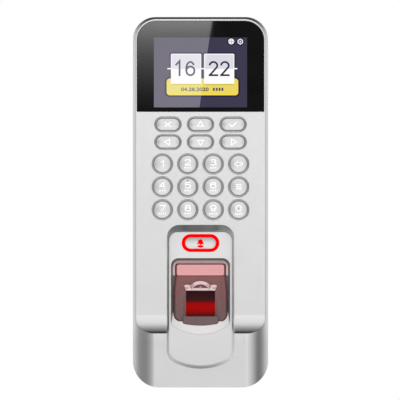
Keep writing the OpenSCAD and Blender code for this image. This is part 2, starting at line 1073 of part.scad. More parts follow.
module sensor_board() {
    color("darkgreen")
    union() {
        slab(-9.6, -8.2)
            panel_2d(12.8, -67, -34, 1, 1);
        block(-5, 5, -8.21, -7.2, -62, -56);
    }
}

module sensor_carrier() {
    color("black")
    difference() {
        slab(-21.9, -9.7)
            panel_2d(12.8, -67, -34, 1.5, 1.5);
        block(-8.7, 8.7, -23, -9, -65.4, -41);
        block(-11.3, 11.3, -13.1, -9, -65.4, -36);
    }
}

// ---- what is drawn ----

wall_plate();
wall_plate_screw();
rear_cover();
cover_screws();
cover_seal();
main_housing();
front_fascia();
display_lens();
lens_tape();
lcd_cell();
lcd_backlight();
lcd_ribbon();
key_guide();
keypad_mat();
key_domes();
key_board();
key_board_screws();
key_ribbon();
main_board();
board_screws();
board_chips();
shield_can();
capacitors();
relay();
coin_cell();
speaker();
network_jack();
terminal_header();
tamper_switch();
card_antenna();
sensor_panel();
sensor_cowl();
light_bar();
finger_prism();
sensor_lamps();
sensor_board();
lens_barrel();
sensor_carrier();
bell_ring();
bell_board();
bell_button();
tamper_plunger();
key_cancel();
key_up();
key_enter();
key_left();
key_down();
key_right();
key_1();
key_2();
key_3();
key_back();
key_4();
key_5();
key_6();
key_menu();
key_7();
key_8();
key_9();
key_0();
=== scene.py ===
import json
import math
from contextlib import contextmanager

import bmesh
import bpy
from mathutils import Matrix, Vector

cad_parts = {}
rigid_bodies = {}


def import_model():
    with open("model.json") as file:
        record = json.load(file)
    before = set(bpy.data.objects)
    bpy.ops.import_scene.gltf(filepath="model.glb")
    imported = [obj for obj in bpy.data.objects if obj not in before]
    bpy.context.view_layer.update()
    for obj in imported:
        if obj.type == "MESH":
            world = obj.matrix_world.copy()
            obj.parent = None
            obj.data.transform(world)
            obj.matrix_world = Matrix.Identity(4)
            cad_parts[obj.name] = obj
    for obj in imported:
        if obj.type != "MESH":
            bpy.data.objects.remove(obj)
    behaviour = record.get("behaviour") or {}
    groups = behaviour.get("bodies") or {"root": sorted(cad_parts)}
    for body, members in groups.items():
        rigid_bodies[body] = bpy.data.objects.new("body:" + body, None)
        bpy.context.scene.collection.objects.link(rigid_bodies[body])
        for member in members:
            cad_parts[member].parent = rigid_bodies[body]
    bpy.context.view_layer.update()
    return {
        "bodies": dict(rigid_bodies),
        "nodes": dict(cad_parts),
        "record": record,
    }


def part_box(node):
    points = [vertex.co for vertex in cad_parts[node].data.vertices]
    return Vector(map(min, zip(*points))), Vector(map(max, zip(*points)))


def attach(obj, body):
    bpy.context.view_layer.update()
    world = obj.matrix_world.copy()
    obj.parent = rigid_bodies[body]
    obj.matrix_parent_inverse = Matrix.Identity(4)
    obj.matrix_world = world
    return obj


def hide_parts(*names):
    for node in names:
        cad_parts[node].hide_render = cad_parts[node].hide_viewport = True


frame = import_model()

# Looks of a wall-mounted access terminal: display, keypad, lit doorbell and finger reader.
# Shapes are worked out in millimetres in the shared frame: X across, -Y towards the user, +Z up.

MM = 0.001


def corners(node):
    """Lowest and highest corner of a CAD node, in millimetres."""
    low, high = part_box(node)
    return low / MM, high / MM


# ---- sizes taken from the frame ----

BODY_LOW, BODY_HIGH = corners("main_housing")
FASCIA_LOW, FASCIA_HIGH = corners("front_fascia")
LENS_LOW, LENS_HIGH = corners("display_lens")
CELL_LOW, CELL_HIGH = corners("lcd_cell")
GUIDE_LOW, GUIDE_HIGH = corners("key_guide")
PANEL_LOW, PANEL_HIGH = corners("sensor_panel")
BAR_LOW, BAR_HIGH = corners("light_bar")
PRISM_LOW, PRISM_HIGH = corners("finger_prism")
RING_LOW, RING_HIGH = corners("bell_ring")
BELL_LOW, BELL_HIGH = corners("bell_button")
KEY_NAMES = [n for n in frame["nodes"] if n.startswith("key_") and n in frame["bodies"]]

FACE_Y = FASCIA_LOW.y
PANEL_Y = PANEL_LOW.y
SEAM_Y = corners("rear_cover")[0].y - 0.05
CHIN_Y = FACE_Y + 10
BACK_EDGE_Y = FASCIA_HIGH.y
BODY_HALF = BODY_HIGH.x
FASCIA_HALF = FASCIA_HIGH.x
LCD_Z = (CELL_LOW.z + CELL_HIGH.z) / 2
BELL_Z = (BELL_LOW.z + BELL_HIGH.z) / 2

# ---- sizes of the looks ----

EDGE_R = 12
FOOT_R = 14
HOUSING_T = 2.2

FASCIA_FOOT = FASCIA_LOW.z - 0.4
FASCIA_T = 2.4
FASCIA_TOP_R = 11
FASCIA_FOOT_RX = 10
FASCIA_FOOT_RZ = 8.4
ROLL_R = 10
ROLL_Z = FASCIA_FOOT + ROLL_R
EDGE_FILLET = 0.2

LENS_FOOT = LENS_LOW.z - 0.35
LENS_TOP_R = 10.1
LIT_HALF = 24.48
LIT_LOW = LCD_Z - 18.36
LIT_HIGH = LCD_Z + 18.36
PIXEL_ROW = 0.153
# the slanting edge of the light on the glass: its place at the display's middle, and its slope; the
# lit picture carries the same edge as a painted reflection
SHEEN_X = 2.14
SHEEN_SLOPE = 0.1446

KEY_GAP = 0.2
COLLAR_T = 0.85
CROWN_Y = FACE_Y - 0.6
KEY_CROWN = 0.6
KEY_EDGE = 0.45
KEY_FLANGE = 0.8
FLANGE_T = 0.8

RECESS_HALF = 17.5
RECESS_TOP = -12.0
PANEL_FLAT_HALF = 16.6
PANEL_TOP = -15.65
PANEL_FOOT = -85.9
PANEL_BASE_HALF = PANEL_HIGH.x
WELL_HALF = 15.45
WELL_TOP = -29.5
WELL_FOOT = -69.4
WELL_FLOOR_FOOT = -61.0
RAMP_FOOT_Y = PANEL_Y + 3.9
FLOOR_Y = CHIN_Y - 0.35

COWL_Y = -26
COWL_HALF = 14.3
COWL_TOP = -32.2
COWL_TOP_HALF = 13.1
COWL_END = -62.7
CHEEK_X = 9.35
LIP_HALF = 9.45
LIP_END = -64.9
FRAME_TOP = -46.6
FRAME_END = -60.85
WINDOW_HALF = 7.6
WINDOW_LOW = PRISM_LOW.z + 1.2
WINDOW_HIGH = PRISM_HIGH.z - 1.0

RING_SPAN_X = 19.7
RING_SPAN_Z = 9.35
BELL_SPAN_X = 15.9
BELL_SPAN_Z = 5.75


# ---- outlines: lists of (x, z), anticlockwise as seen from the front ----

def arc(cx, cz, rx, start, end, steps=8, rz=None):
    """Points along a round or elliptical arc, from angle start to angle end in degrees."""
    rz = rx if rz is None else rz
    turns = [math.radians(start + (end - start) * i / steps) for i in range(steps + 1)]
    return [(cx + rx * math.cos(a), cz + rz * math.sin(a)) for a in turns]


def rounded(half, low, high, r_low, r_high, rz_low=None, cx=0.0, steps=8):
    """An upright rounded rectangle with its own corner radius at each end."""
    rz = r_low if rz_low is None else rz_low
    return (
        arc(cx + half - r_low, low + rz, r_low, -90, 0, steps, rz)
        + arc(cx + half - r_high, high - r_high, r_high, 0, 90, steps)
        + arc(cx - half + r_high, high - r_high, r_high, 90, 180, steps)
        + arc(cx - half + r_low, low + rz, r_low, 180, 270, steps, rz)
    )


def between(left, right, low, high, r_low, r_high):
    """A rounded rectangle given by its four sides."""
    return rounded((right - left) / 2, low, high, r_low, r_high, cx=(left + right) / 2)


def capsule(w, h, cx=0.0, cz=0.0, steps=20):
    """A slot-shaped outline; a circle where w equals h."""
    reach = (w - h) / 2
    return arc(cx + reach, cz, h / 2, -90, 90, steps) + arc(cx - reach, cz, h / 2, 90, 270, steps)


def bowed(half, top, top_r, foot, foot_r, bow_r):
    """An upright outline whose foot bows downwards."""
    swing = math.degrees(math.asin((half - foot_r) / (bow_r - foot_r)))
    corner_z = foot + bow_r - (bow_r - foot_r) * math.cos(math.radians(swing))
    return (
        arc(0, foot + bow_r, bow_r, -90 - swing, -90 + swing, 14)[1:-1]
        + arc(half - foot_r, corner_z, foot_r, -90 + swing, 0, 6)
        + arc(half - top_r, top - top_r, top_r, 0, 90, 8)
        + arc(-half + top_r, top - top_r, top_r, 90, 180, 8)
        + arc(-half + foot_r, corner_z, foot_r, 180, 270 - swing, 6)
    )


def grow(outline, amount):
    """The same outline moved outwards by amount, point for point."""
    moved = []
    count = len(outline)
    for i, (x, z) in enumerate(outline):
        ax, az = outline[i - 1]
        bx, bz = outline[(i + 1) % count]
        length = math.hypot(bx - ax, bz - az)
        moved.append((x + amount * (bz - az) / length, z - amount * (bx - ax) / length))
    return moved


# ---- meshes ----

@contextmanager
def editing(mesh):
    """Opens a mesh for editing and writes it back."""
    bm = bmesh.new()
    bm.from_mesh(mesh)
    yield bm
    bm.to_mesh(mesh)
    bm.free()


def weld(mesh, gap=0.002):
    """Merges points that coincide and turns every face outwards."""
    with editing(mesh) as bm:
        bmesh.ops.remove_doubles(bm, verts=bm.verts, dist=gap * MM)
        bmesh.ops.recalc_face_normals(bm, faces=bm.faces)


def new_object(name, data):
    made = bpy.data.objects.new(name, data)
    bpy.context.scene.collection.objects.link(made)
    return made


def piece(name, points, faces):
    """A new mesh object from points in millimetres."""
    mesh = bpy.data.meshes.new(name)
    mesh.from_pydata([Vector(p) * MM for p in points], [], faces)
    weld(mesh)
    return new_object(name, mesh)


def belt(count, a, b):
    """Faces between two closed loops of points that start at a and at b."""
    return [(a + j, b + j, b + (j + 1) % count, a + (j + 1) % count) for j in range(count)]


def skin(name, rings, joined=False):
    """A closed mesh through rings of points; its end rings are filled, or joined to each other."""
    count = len(rings[0])
    last = count * (len(rings) - 1)
    ends = [list(range(count)), list(range(last + count - 1, last - 1, -1))]
    faces = belt(count, last, 0) if joined else ends
    for start in range(0, last, count):
        faces += belt(count, start, start + count)
    return piece(name, [p for ring in rings for p in ring], faces)


def loft(name, levels, joined=False):
    """A closed mesh through outlines at depths, listed from the front to the back."""
    rings = [[(x, depth, z) for x, z in outline] for depth, outline in levels]
    return skin(name, rings, joined)


def soft_edge(depth, outline, radius, steps=4, outwards=-1):
    """Levels of a rounded front edge, from the face to the side; outwards is 1 for a hole's rim."""
    turns = [math.pi / 2 * i / steps for i in range(steps + 1)]
    return [
        (depth + radius * (1 - math.cos(a)), grow(outline, outwards * radius * (1 - math.sin(a))))
        for a in turns
    ]


def soft_mouth(depth, outline, radius, steps=4):
    """Levels of a cutter that leaves a rounded rim, from in front of the face to the hole's side."""
    rim = soft_edge(depth, outline, radius, steps, 1)
    return [(depth - 1.5, rim[0][1])] + rim


def slab(outline, front, back):
    return loft("slab", [(front, outline), (back, outline)])


def soft_block(name, outline, front, radius, back):
    """A slab with a rounded front edge."""
    return loft(name, soft_edge(front, outline, radius) + [(back, outline)])


def gather(name, parts):
    """Joins separate meshes into one object without changing them."""
    mesh = bpy.data.meshes.new(name)
    with editing(mesh) as bm:
        for part in parts:
            bm.from_mesh(part.data)
            bpy.data.objects.remove(part)
    return new_object(name, mesh)


def evaluated_mesh(target):
    """What an object's modifiers, or its curve, make of it."""
    graph = bpy.context.evaluated_depsgraph_get()
    return bpy.data.meshes.new_from_object(target.evaluated_get(graph))


def carve(target, cutter, operation="DIFFERENCE"):
    """Cuts one mesh by another, or adds it, and keeps the result."""
    step = target.modifiers.new("carve", "BOOLEAN")
    step.operation = operation
    step.solver = "EXACT"
    step.object = cutter
    mesh = evaluated_mesh(target)
    target.modifiers.clear()
    target.data = mesh
    bpy.data.objects.remove(cutter)


def cut(target, outline, front, back):
    """Cuts a straight-sided opening."""
    carve(target, slab(outline, front, back))


def soft_cut(target, outline, front, radius, back):
    """Cuts an opening with a rounded rim."""
    carve(target, loft("cutter", soft_mouth(front, outline, radius) + [(back, outline)]))


def slice_at(target, heights, across=()):
    """Adds edges to a mesh along level planes, and along upright planes where asked."""
    planes = [((0, 0, z * MM), (0, 0, 1)) for z in heights]
    planes += [((x * MM, 0, 0), (1, 0, 0)) for x in across]
    with editing(target.data) as bm:
        for point, normal in planes:
            everything = bm.verts[:] + bm.edges[:] + bm.faces[:]
            bmesh.ops.bisect_plane(bm, geom=everything, dist=1e-7, plane_co=point,
                                   plane_no=normal)


def roll_foot(target, radius, reach):
    """Bends whatever lies in front of reach back round the roll along the fascia's foot."""
    turns = [math.radians(6 * i) for i in range(16)]
    slice_at(target, [ROLL_Z - radius * math.sin(a) for a in turns])
    for vertex in target.data.vertices:
        if vertex.co.y < reach * MM:
            drop = min(max(ROLL_Z - vertex.co.z / MM, 0), radius)
            vertex.co.y += (radius - math.sqrt(radius**2 - drop**2)) * MM


def dress(target, material, body="case", replaces=(), crease=32):
    """Gives a finished mesh its material, its smooth shading and the body that it moves with."""
    target.data.materials.clear()
    target.data.materials.append(material)
    target.data.shade_smooth()
    target.data.set_sharp_from_angle(angle=math.radians(crease))
    weighted = target.modifiers.new("normals", "WEIGHTED_NORMAL")
    weighted.keep_sharp = True
    weighted.weight = 80
    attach(target, body)
    if replaces:
        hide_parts(*replaces)
    return target


def paint_light_and_shade_on_faces(target, material, chosen):
    """Gives some faces another material, a copy with painted light and shade; chosen takes a face's
    middle and normal.
    """
    slot = len(target.data.materials)
    target.data.materials.append(material)
    for face in target.data.polygons:
        if chosen(face.center / MM, face.normal):
            face.material_index = slot


# ---- materials ----

def new_material(name, **values):
    """A material; values go on its shader's own sockets, with _ for a space."""
    material = bpy.data.materials.new(name)
    material.use_nodes = True
    shader = material.node_tree.nodes["Principled BSDF"]
    for key, value in values.items():
        shader.inputs[key.replace("_", " ")].default_value = value
    return material, material.node_tree, shader


def add(tree, kind, inputs=None, **settings):
    """A shader node; inputs gives each socket a plain value or another node's output."""
    node = tree.nodes.new("ShaderNode" + kind)
    for key, value in settings.items():
        setattr(node, key, value)
    for key, value in (inputs or {}).items():
        if isinstance(value, bpy.types.NodeSocket):
            tree.links.new(value, node.inputs[key])
        else:
            node.inputs[key].default_value = value
    return node


def maths(tree, operation, *values):
    return add(tree, "Math", dict(enumerate(values)), operation=operation).outputs[0]


def mix(tree, factor, first, second, blend_type="MIX"):
    inputs = {"Factor": factor, 6: first, 7: second}
    return add(tree, "Mix", inputs, data_type="RGBA", blend_type=blend_type).outputs[2]


def position(tree, space="Object"):
    """The X, Y and Z outputs of a point's place."""
    place = add(tree, "TexCoord")
    return add(tree, "SeparateXYZ", {"Vector": place.outputs[space]}).outputs


def noise(tree, scale, detail=3.0):
    """Noise in object space; scale is in features per metre."""
    inputs = {"Vector": add(tree, "TexCoord").outputs["Object"], "Scale": scale, "Detail": detail,
              "Roughness": 0.55}
    return add(tree, "TexNoise", inputs).outputs["Fac"]


def rgb(colour):
    """A colour as three values; a single number is a grey."""
    return (colour,) * 3 if isinstance(colour, (int, float)) else colour


def shade(colour, factor):
    return tuple(min(c * factor, 1.0) for c in rgb(colour))


def srgb(r, g, b):
    """A colour given as display values from 0 to 255."""
    return tuple((c / 255 / 12.92) if c < 11 else ((c / 255 + 0.055) / 1.055) ** 2.4
                 for c in (r, g, b))


def ramp(tree, value, stops):
    """A colour ramp; stops are (place, colour) pairs."""
    node = add(tree, "ValToRGB", {"Fac": value})
    elements = node.color_ramp.elements
    while len(elements) < len(stops):
        elements.new(0.5)
    for element, (place, colour) in zip(elements, stops):
        element.position = place
        element.color = (*rgb(colour), 1)
    return node.outputs["Color"]


def place_in_object(tree, axis, low, high):
    """A value that runs from 0 to 1 between two places along an axis, in millimetres."""
    span = {"From Min": low * MM, "From Max": high * MM, "Value": position(tree)[axis]}
    return add(tree, "MapRange", span).outputs["Result"]


def tinted(tree, colour, axis, low, high, stops):
    """A colour multiplied by a ramp that runs along an axis."""
    level = place_in_object(tree, axis, low, high)
    return mix(tree, 1.0, colour, ramp(tree, level, stops), "MULTIPLY")


def surface(name, colour, metallic=0.0, roughness=0.5, vary=0.04, patch=400.0, grain=9000.0,
            bump=0.02, rough_vary=0.06, painted_light_z=None, across=None, **more):
    """A moulded, painted or metal surface: mottled colour, uneven gloss and a fine grain.

    painted_light_z is (low z, high z, tint at the low end, tint at the high end); across is the same
    in x. Both paint light and shade into the colour: a tint below one is painted shade, a tint above
    one painted light."""
    material, tree, shader = new_material(name, Metallic=metallic, **more)
    mottle = noise(tree, patch, 4.0)
    tint = ramp(tree, mottle, [(0.3, shade(colour, 1 - vary)), (0.7, shade(colour, 1 + vary))])
    for axis, span in (("Z", painted_light_z), ("X", across)):
        if span:
            low, high, first, last = span
            tint = tinted(tree, tint, axis, low, high, [(0, first), (1, last)])
    tree.links.new(tint, shader.inputs["Base Color"])
    gloss = add(tree, "MapRange", {"Value": mottle, "To Min": roughness - rough_vary,
                                   "To Max": roughness + rough_vary})
    tree.links.new(gloss.outputs["Result"], shader.inputs["Roughness"])
    relief = add(tree, "Bump", {"Height": noise(tree, grain, 2.0), "Strength": bump,
                                "Distance": 0.0002})
    tree.links.new(relief.outputs["Normal"], shader.inputs["Normal"])
    return material


PAINT = {"vary": 0.01, "patch": 120.0, "grain": 14000.0, "bump": 0.01}
SMOKED = {"vary": 0.02, "bump": 0.01, "Specular_IOR_Level": 0.3}

# painted shade: the fascia's silver paint is darker towards the bottom, as if lit from above
SILVER = surface("silver_paint", 0.605, 0.92, 0.20, rough_vary=0.015,
                 painted_light_z=(-72, 40, 0.855, 1.0), **PAINT)
# painted shade: the housing's paint is darker towards its foot, below the fascia
HOUSING_SILVER = surface("housing_paint", 0.575, 0.92, 0.20, rough_vary=0.015,
                         painted_light_z=(-74, -64, 0.86, 1.0), **PAINT)
# painted shade: the reader panel's paint is darker towards the bottom
PANEL_SILVER = surface("panel_paint", 0.68, 0.3, 0.30, rough_vary=0.02,
                       painted_light_z=(-84, -20, 0.84, 1.0), **PAINT)
# painted light and shade: a brighter matt copy of the panel's paint for the tongue's sides, darker
# towards the down-facing foot and towards the left
PANEL_SIDE_LIT_AND_SHADED = surface("panel_side_painted_light_and_shade", 0.97, 0.0, 0.4, vary=0.01, patch=120.0,
                     painted_light_z=(-87.5, -82, 0.38, 1.0), across=(-17, 17, 0.82, 1.0))
# painted light and shade: a copy of the silver paint for the recess walls, brighter low down, darker
# towards the down-facing top and towards the left
RECESS_LIT_AND_SHADED = surface("recess_painted_light_and_shade", 0.80, 0.92, 0.3, vary=0.02, patch=120.0,
                        painted_light_z=(-19, -14.5, 1.0, (0.365, 0.395, 0.395)),
                        across=(-17, 17, 0.61, 1.0))
# painted shadow: the doorbell button's paint darkens along its top, under the ring
BUTTON_SILVER = surface("button_paint", 0.675, 0.3, 0.30, vary=0.01, patch=120.0,
                        painted_light_z=(-21.6, -19.2, 1.0, 0.55))
# painted light: the well's ramp is part of the silver panel, given a brighter pale colour where light
# falls on it
RAMP_PAINTED_LIGHT = surface("ramp_painted_light", (0.81, 0.775, 0.775), 0.0, 0.35, vary=0.01, patch=120.0)
# painted shade: the well's walls, part of the silver panel, are given a dark grey for the shadow
# between cowl and wall
WELL_PAINTED_SHADE = surface("well_wall_painted_shade", (0.15, 0.145, 0.145))
# painted shade: the collars' darker grey stands for the shade in the groove round each key; their
# slope is real
COLLAR_PAINTED_SHADE = surface("collar_painted_shade", (0.445, 0.445, 0.45), 0.7, 0.34)
KEY_PLASTIC = surface("key_plastic", (0.60, 0.60, 0.605), 0.55, 0.25, vary=0.01, bump=0.005)
LEGEND = surface("key_legend", (0.95, 0.95, 0.96), 0.0, 0.4, vary=0.01,
                 Emission_Color=(1, 1, 1, 1), Emission_Strength=0.12)
BLACK_GLASS = surface("black_glass", (0.0075, 0.0075, 0.008), 0.0, 0.014, vary=0.2, patch=60.0,
                      bump=0.0, rough_vary=0.004)
# painted light and shade: the cowl's smoked plastic is darker and greyer towards its foot, brighter
# and redder towards its top
SMOKE = surface("smoked_red_plastic", (0.205, 0.083, 0.083), 0.0, 0.28,
                painted_light_z=(-63, -38, (0.71, 1.07, 1.07), (1.15, 1.02, 1.02)), **SMOKED)
# painted shade: a darker copy of the smoked plastic on the recessed frame round the window, darkest at
# its foot
FRAME_PAINTED_SHADE = surface("window_frame_painted_shade", (0.215, 0.097, 0.097), 0.0, 0.3,
                      painted_light_z=(-60, -47, 0.54, 0.9), **SMOKED)
# painted shade: dark smoked sheets in the hollow under the finger stop's arch and in its lugs' creases
HOLLOW_PAINTED_SHADE = surface("stop_hollow_painted_shade", (0.165, 0.092, 0.092), 0.0, 0.4, vary=0.03,
                       Specular_IOR_Level=0.2)
# painted highlight: the finger stop's light pink, where its plastic catches light, paler towards its
# foot
STOP_PAINTED_HIGHLIGHT = surface("finger_stop_painted_highlight", (0.76, 0.52, 0.52), 0.0, 0.34, vary=0.02, bump=0.01,
                    painted_light_z=(-46.4, -44.4, (1.02, 1.13, 1.13), 1.0))
# painted shade: a mid pink for the finger stop's shaded bands and facets
STOP_SHADE = surface("finger_stop_shade", (0.44, 0.28, 0.28), 0.0, 0.34, vary=0.03, bump=0.01)
# painted light and shade: the rim glows faintly though no lamp lights it, and darkens towards its top
RIM_PAINTED_GLOW_AND_SHADE = surface("guide_rim_painted_glow_and_shade", (0.62, 0.48, 0.48), 0.0, 0.35, vary=0.03,
                     painted_light_z=(-34.5, -31.5, 1.0, (0.66, 0.64, 0.64)),
                     Emission_Color=(1, 0.7, 0.7, 1), Emission_Strength=0.05)
PIP_GREY = surface("pip_grey", 0.12, 0.0, 0.4)


def lit_material(name, base, roughness, specular, strength, paint):
    """A material that shines; paint makes the node output that colours its light."""
    material, tree, shader = new_material(
        name, Base_Color=(*base, 1), Roughness=roughness, Specular_IOR_Level=specular,
        Emission_Strength=strength)
    tree.links.new(paint(tree), shader.inputs["Emission Color"])
    return material


def glow(name, colour, strength, base, specular=0.0, stops=None):
    """A glowing part; stops are its brightness from the light bar's foot to its top. The doorbell's
    ring and icon are lit from behind; the light bar's glow is painted highlight.
    """
    def paint(tree):
        spots = ramp(tree, noise(tree, 900.0), [(0.25, shade(colour, 0.97)), (0.75, colour)])
        return tinted(tree, spots, "Z", BAR_LOW.z, BAR_HIGH.z, stops) if stops else spots
    return lit_material(name, base, 0.3, specular, strength, paint)


RING_RED = glow("ring_red", (1.0, 0.0, 0.0), 1.1, (0.3, 0.0, 0.0))
ICON_RED = glow("icon_red", (1.0, 0.0, 0.0), 1.0, (0.3, 0.0, 0.0))
# painted highlight: the light bar glows to stand for the light that the reader's sloping top facet
# catches
BAR_PAINTED_HIGHLIGHT = glow("bar_painted_highlight", srgb(232, 166, 166), 0.75, (0.2, 0.1, 0.1), 0.2,
                [(0.0, 1.0), (0.08, 1.0), (0.2, 0.93), (0.6, 0.93), (1.0, 0.98)])


def prism_glass():
    """Deep red glass with the reader's lamp glowing across its lower half."""
    bands = [(0.0, (74, 14, 16)), (0.10, (92, 14, 14)), (0.22, (150, 4, 5)), (0.40, (163, 3, 4)),
             (0.52, (150, 4, 5)), (0.60, (72, 18, 19)), (0.72, (50, 20, 21)), (1.0, (38, 16, 17))]

    def paint(tree):
        level = place_in_object(tree, "Z", WINDOW_LOW, WINDOW_HIGH)
        wavy = maths(tree, "MULTIPLY_ADD", noise(tree, 260.0), 0.03, level)
        return ramp(tree, wavy, [(place, srgb(*colour)) for place, colour in bands])
    return lit_material("prism_glass", (0.01, 0.002, 0.002), 0.12, 0.01, 1.0, paint)


def screen_ink(name, colour, painted_sheen=None, detail=0.02):
    """Lit display colour with its pixel rows; painted_sheen is the colour left of the slanting edge, a
    painted reflection of the glare on the glass.
    """
    def paint(tree):
        place = position(tree)
        turn = maths(tree, "MULTIPLY", place["Z"], 2 * math.pi / (PIXEL_ROW * MM))
        wave = {"Value": maths(tree, "SINE", turn), "From Min": -1.0}
        rows = add(tree, "MapRange", wave).outputs["Result"]
        # painted reflection: left of the slanting edge the picture takes its lighter painted_sheen
        # colour, where the glare lies on the glass
        start = (SHEEN_X - SHEEN_SLOPE * LCD_Z) * MM
        edge = maths(tree, "MULTIPLY_ADD", place["Z"], SHEEN_SLOPE, start)
        left = maths(tree, "LESS_THAN", place["X"], edge)
        painted_glare = mix(tree, left, (*srgb(*colour), 1), (*srgb(*(painted_sheen or colour)), 1))
        pixels = ramp(tree, rows, [(0, 1 - detail), (1, 1 + detail)])
        return mix(tree, 1.0, painted_glare, pixels, "MULTIPLY")
    return lit_material(name, (0, 0, 0), 0.2, 0.02, 1.0, paint)


# ---- housing and fascia ----

def housing_rows(inset, back):
    """Cross-sections of the housing's outer form, from its foot to its top, drawn inwards by inset."""
    half = BODY_HALF - inset
    r = EDGE_R - inset
    foot_r = FOOT_R - inset
    foot = BODY_LOW.z + inset
    top = BODY_HIGH.z - inset
    front = CHIN_Y + inset
    levels = [foot + foot_r * (1 - math.cos(math.radians(7.5 * i))) for i in range(13)]
    levels += [top - r + r * math.sin(math.radians(7.5 * i)) for i in range(13)]
    rows = []
    for z in levels:
        below = max(foot + foot_r - z, 0)
        half_here = half - foot_r + math.sqrt(max(foot_r**2 - below**2, 0))
        rise = max(z - (top - r), 0)
        section_r = math.sqrt(max(r**2 - rise**2, 0))
        side = []
        for i in range(19):
            turn = math.radians(5 * i)
            x = half - r + section_r * math.cos(turn)
            x = min(x, max(half_here, 0))
            out = min(max(x - (half - r), 0), section_r)
            side.append((x, front + r - math.sqrt(section_r**2 - out**2), z))
        edge = (side[0][0], back, z)
        left = [(-x, y, z) for x, y, z in [edge] + side]
        rows.append(left + list(reversed([edge] + side)))
    return rows


def recess_levels():
    """The finger recess, from the fascia's face down to the reader panel."""
    foot = FASCIA_LOW.z - 5
    mouth = rounded(RECESS_HALF, foot, RECESS_TOP, 0.5, 6.5)
    floor_outline = rounded(PANEL_FLAT_HALF + 0.1, foot, PANEL_TOP + 0.1, 0.5, 4.6)
    deep = (PANEL_Y + 6, grow(floor_outline, 0.1))
    return soft_mouth(FACE_Y, mouth, 0.25) + [(PANEL_Y, floor_outline), deep]


def tongue_levels(extra, back=CHIN_Y):
    """The raised reader panel with its sloping sides."""
    face = bowed(PANEL_FLAT_HALF + extra, PANEL_TOP + extra, 4.5, PANEL_FOOT - extra, 6, 29)
    base = bowed(PANEL_BASE_HALF + extra, PANEL_HIGH.z + extra, 6, PANEL_LOW.z - extra, 7, 30)
    if extra:
        return [(PANEL_Y - extra, face), (CHIN_Y, base), (back, base)]
    return soft_edge(PANEL_Y, face, 0.2) + [(back, base)]


def key_shape(node):
    """A key cap's centre, half width and half height; the node's box is its flange."""
    low, high = corners(node)
    middle = (low + high) / 2
    half = (high - low) / 2
    return middle.x, middle.z, half.x - KEY_FLANGE, half.z - KEY_FLANGE


def key_outline(node, extra):
    """A key cap's outline, grown by extra."""
    cx, cz, half_w, half_h = key_shape(node)
    return capsule(2 * (half_w + extra), 2 * (half_h + extra), cx, cz)


def fascia_rows(inset, edge, back):
    """Cross-sections of the fascia from its rolled foot to its top, with a rounded front edge."""
    half = FASCIA_HALF - inset
    foot = FASCIA_FOOT + inset
    top = FASCIA_HIGH.z - inset
    front = FACE_Y + inset
    roll = ROLL_R - inset
    corner = FASCIA_TOP_R - inset
    foot_rx = FASCIA_FOOT_RX - inset
    foot_rz = FASCIA_FOOT_RZ - inset
    centre_x = half - corner
    centre_z = top - corner
    levels = [ROLL_Z - roll * math.cos(math.radians(5 * i)) for i in range(19)]
    levels += [centre_z + corner * math.sin(math.radians(7.5 * i)) for i in range(11)]
    levels += [top - edge * (1 - math.cos(math.radians(a))) for a in (80, 60, 40, 20, 0)]

    def section(z):
        """Half width here, and how squarely the outline faces sideways."""
        if z < foot + foot_rz:
            sine = (foot + foot_rz - z) / foot_rz
            cosine = math.sqrt(max(1 - sine**2, 0))
            return half - foot_rx * (1 - cosine), cosine
        if z > centre_z:
            cosine = math.sqrt(max(1 - ((z - centre_z) / corner) ** 2, 0))
            return centre_x + corner * cosine, cosine
        return half, 1

    def fall(distance):
        """How far the rounded edge falls back at a distance from the outline."""
        if distance >= edge:
            return 0
        return edge - math.sqrt(max(edge**2 - (edge - distance) ** 2, 0))

    rows = []
    for z in levels:
        here, squareness = section(z)
        drop = min(max(ROLL_Z - z, 0), roll)
        depth = front + roll - math.sqrt(roll**2 - drop**2)
        side = [(here, back, z)]
        for i in range(6):
            across = edge * (1 - math.cos(math.radians(18 * i))) / max(squareness, 0.15)
            x = max(here - across, min(here, centre_x))
            if z > centre_z and x > centre_x:
                distance = corner - math.hypot(x - centre_x, z - centre_z)
            else:
                distance = min((here - x) * squareness, top - z)
            side.append((x, depth + fall(distance), z))
        rows.append([(-x, y, zz) for x, y, zz in side] + list(reversed(side)))
    return rows


def front_fascia():
    fascia = skin("fascia_shell", fascia_rows(0, EDGE_FILLET, BACK_EDGE_Y))
    carve(fascia, skin("hollow", fascia_rows(FASCIA_T, 0.01, BACK_EDGE_Y + 1)))
    walls = slab(rounded(19.35, FASCIA_LOW.z + 1, -10.2, 0.5, 7.5), FACE_Y + 1, BACK_EDGE_Y - 0.3)
    roll_foot(walls, ROLL_R - 1, FACE_Y + 1.1)
    carve(fascia, walls, "UNION")
    recess = loft("recess", recess_levels())
    roll_foot(recess, ROLL_R, 0)
    carve(fascia, recess)
    carve(fascia, loft("tongue", tongue_levels(0.1, BACK_EDGE_Y + 2)))
    seat = rounded(LENS_HIGH.x + 0.05, LENS_FOOT - 0.05, LENS_HIGH.z + 0.05, 0.4, LENS_TOP_R + 0.05,
                   steps=14)
    soft_cut(fascia, seat, FACE_Y, 0.12, LENS_HIGH.y + 0.2)
    holes = []
    for node in KEY_NAMES:
        hole = key_outline(node, KEY_GAP + COLLAR_T + 0.05)
        holes.append(loft("hole", soft_mouth(FACE_Y, hole, 0.12, 3) + [(FACE_Y + 4, hole)]))
    carve(fascia, gather("holes", holes))
    carve(fascia, skin("body_form", housing_rows(-0.05, BACK_EDGE_Y + 6)))
    dress(fascia, SILVER, replaces=["front_fascia"])

    # painted light and shade on the recess walls
    def recess_wall(middle, normal):
        steep = abs(normal.y) < 0.75 and middle.y > FACE_Y + 0.3
        return steep and abs(middle.x) < RECESS_HALF + 0.4 and middle.z < RECESS_TOP + 0.1
    paint_light_and_shade_on_faces(fascia, RECESS_LIT_AND_SHADED, recess_wall)


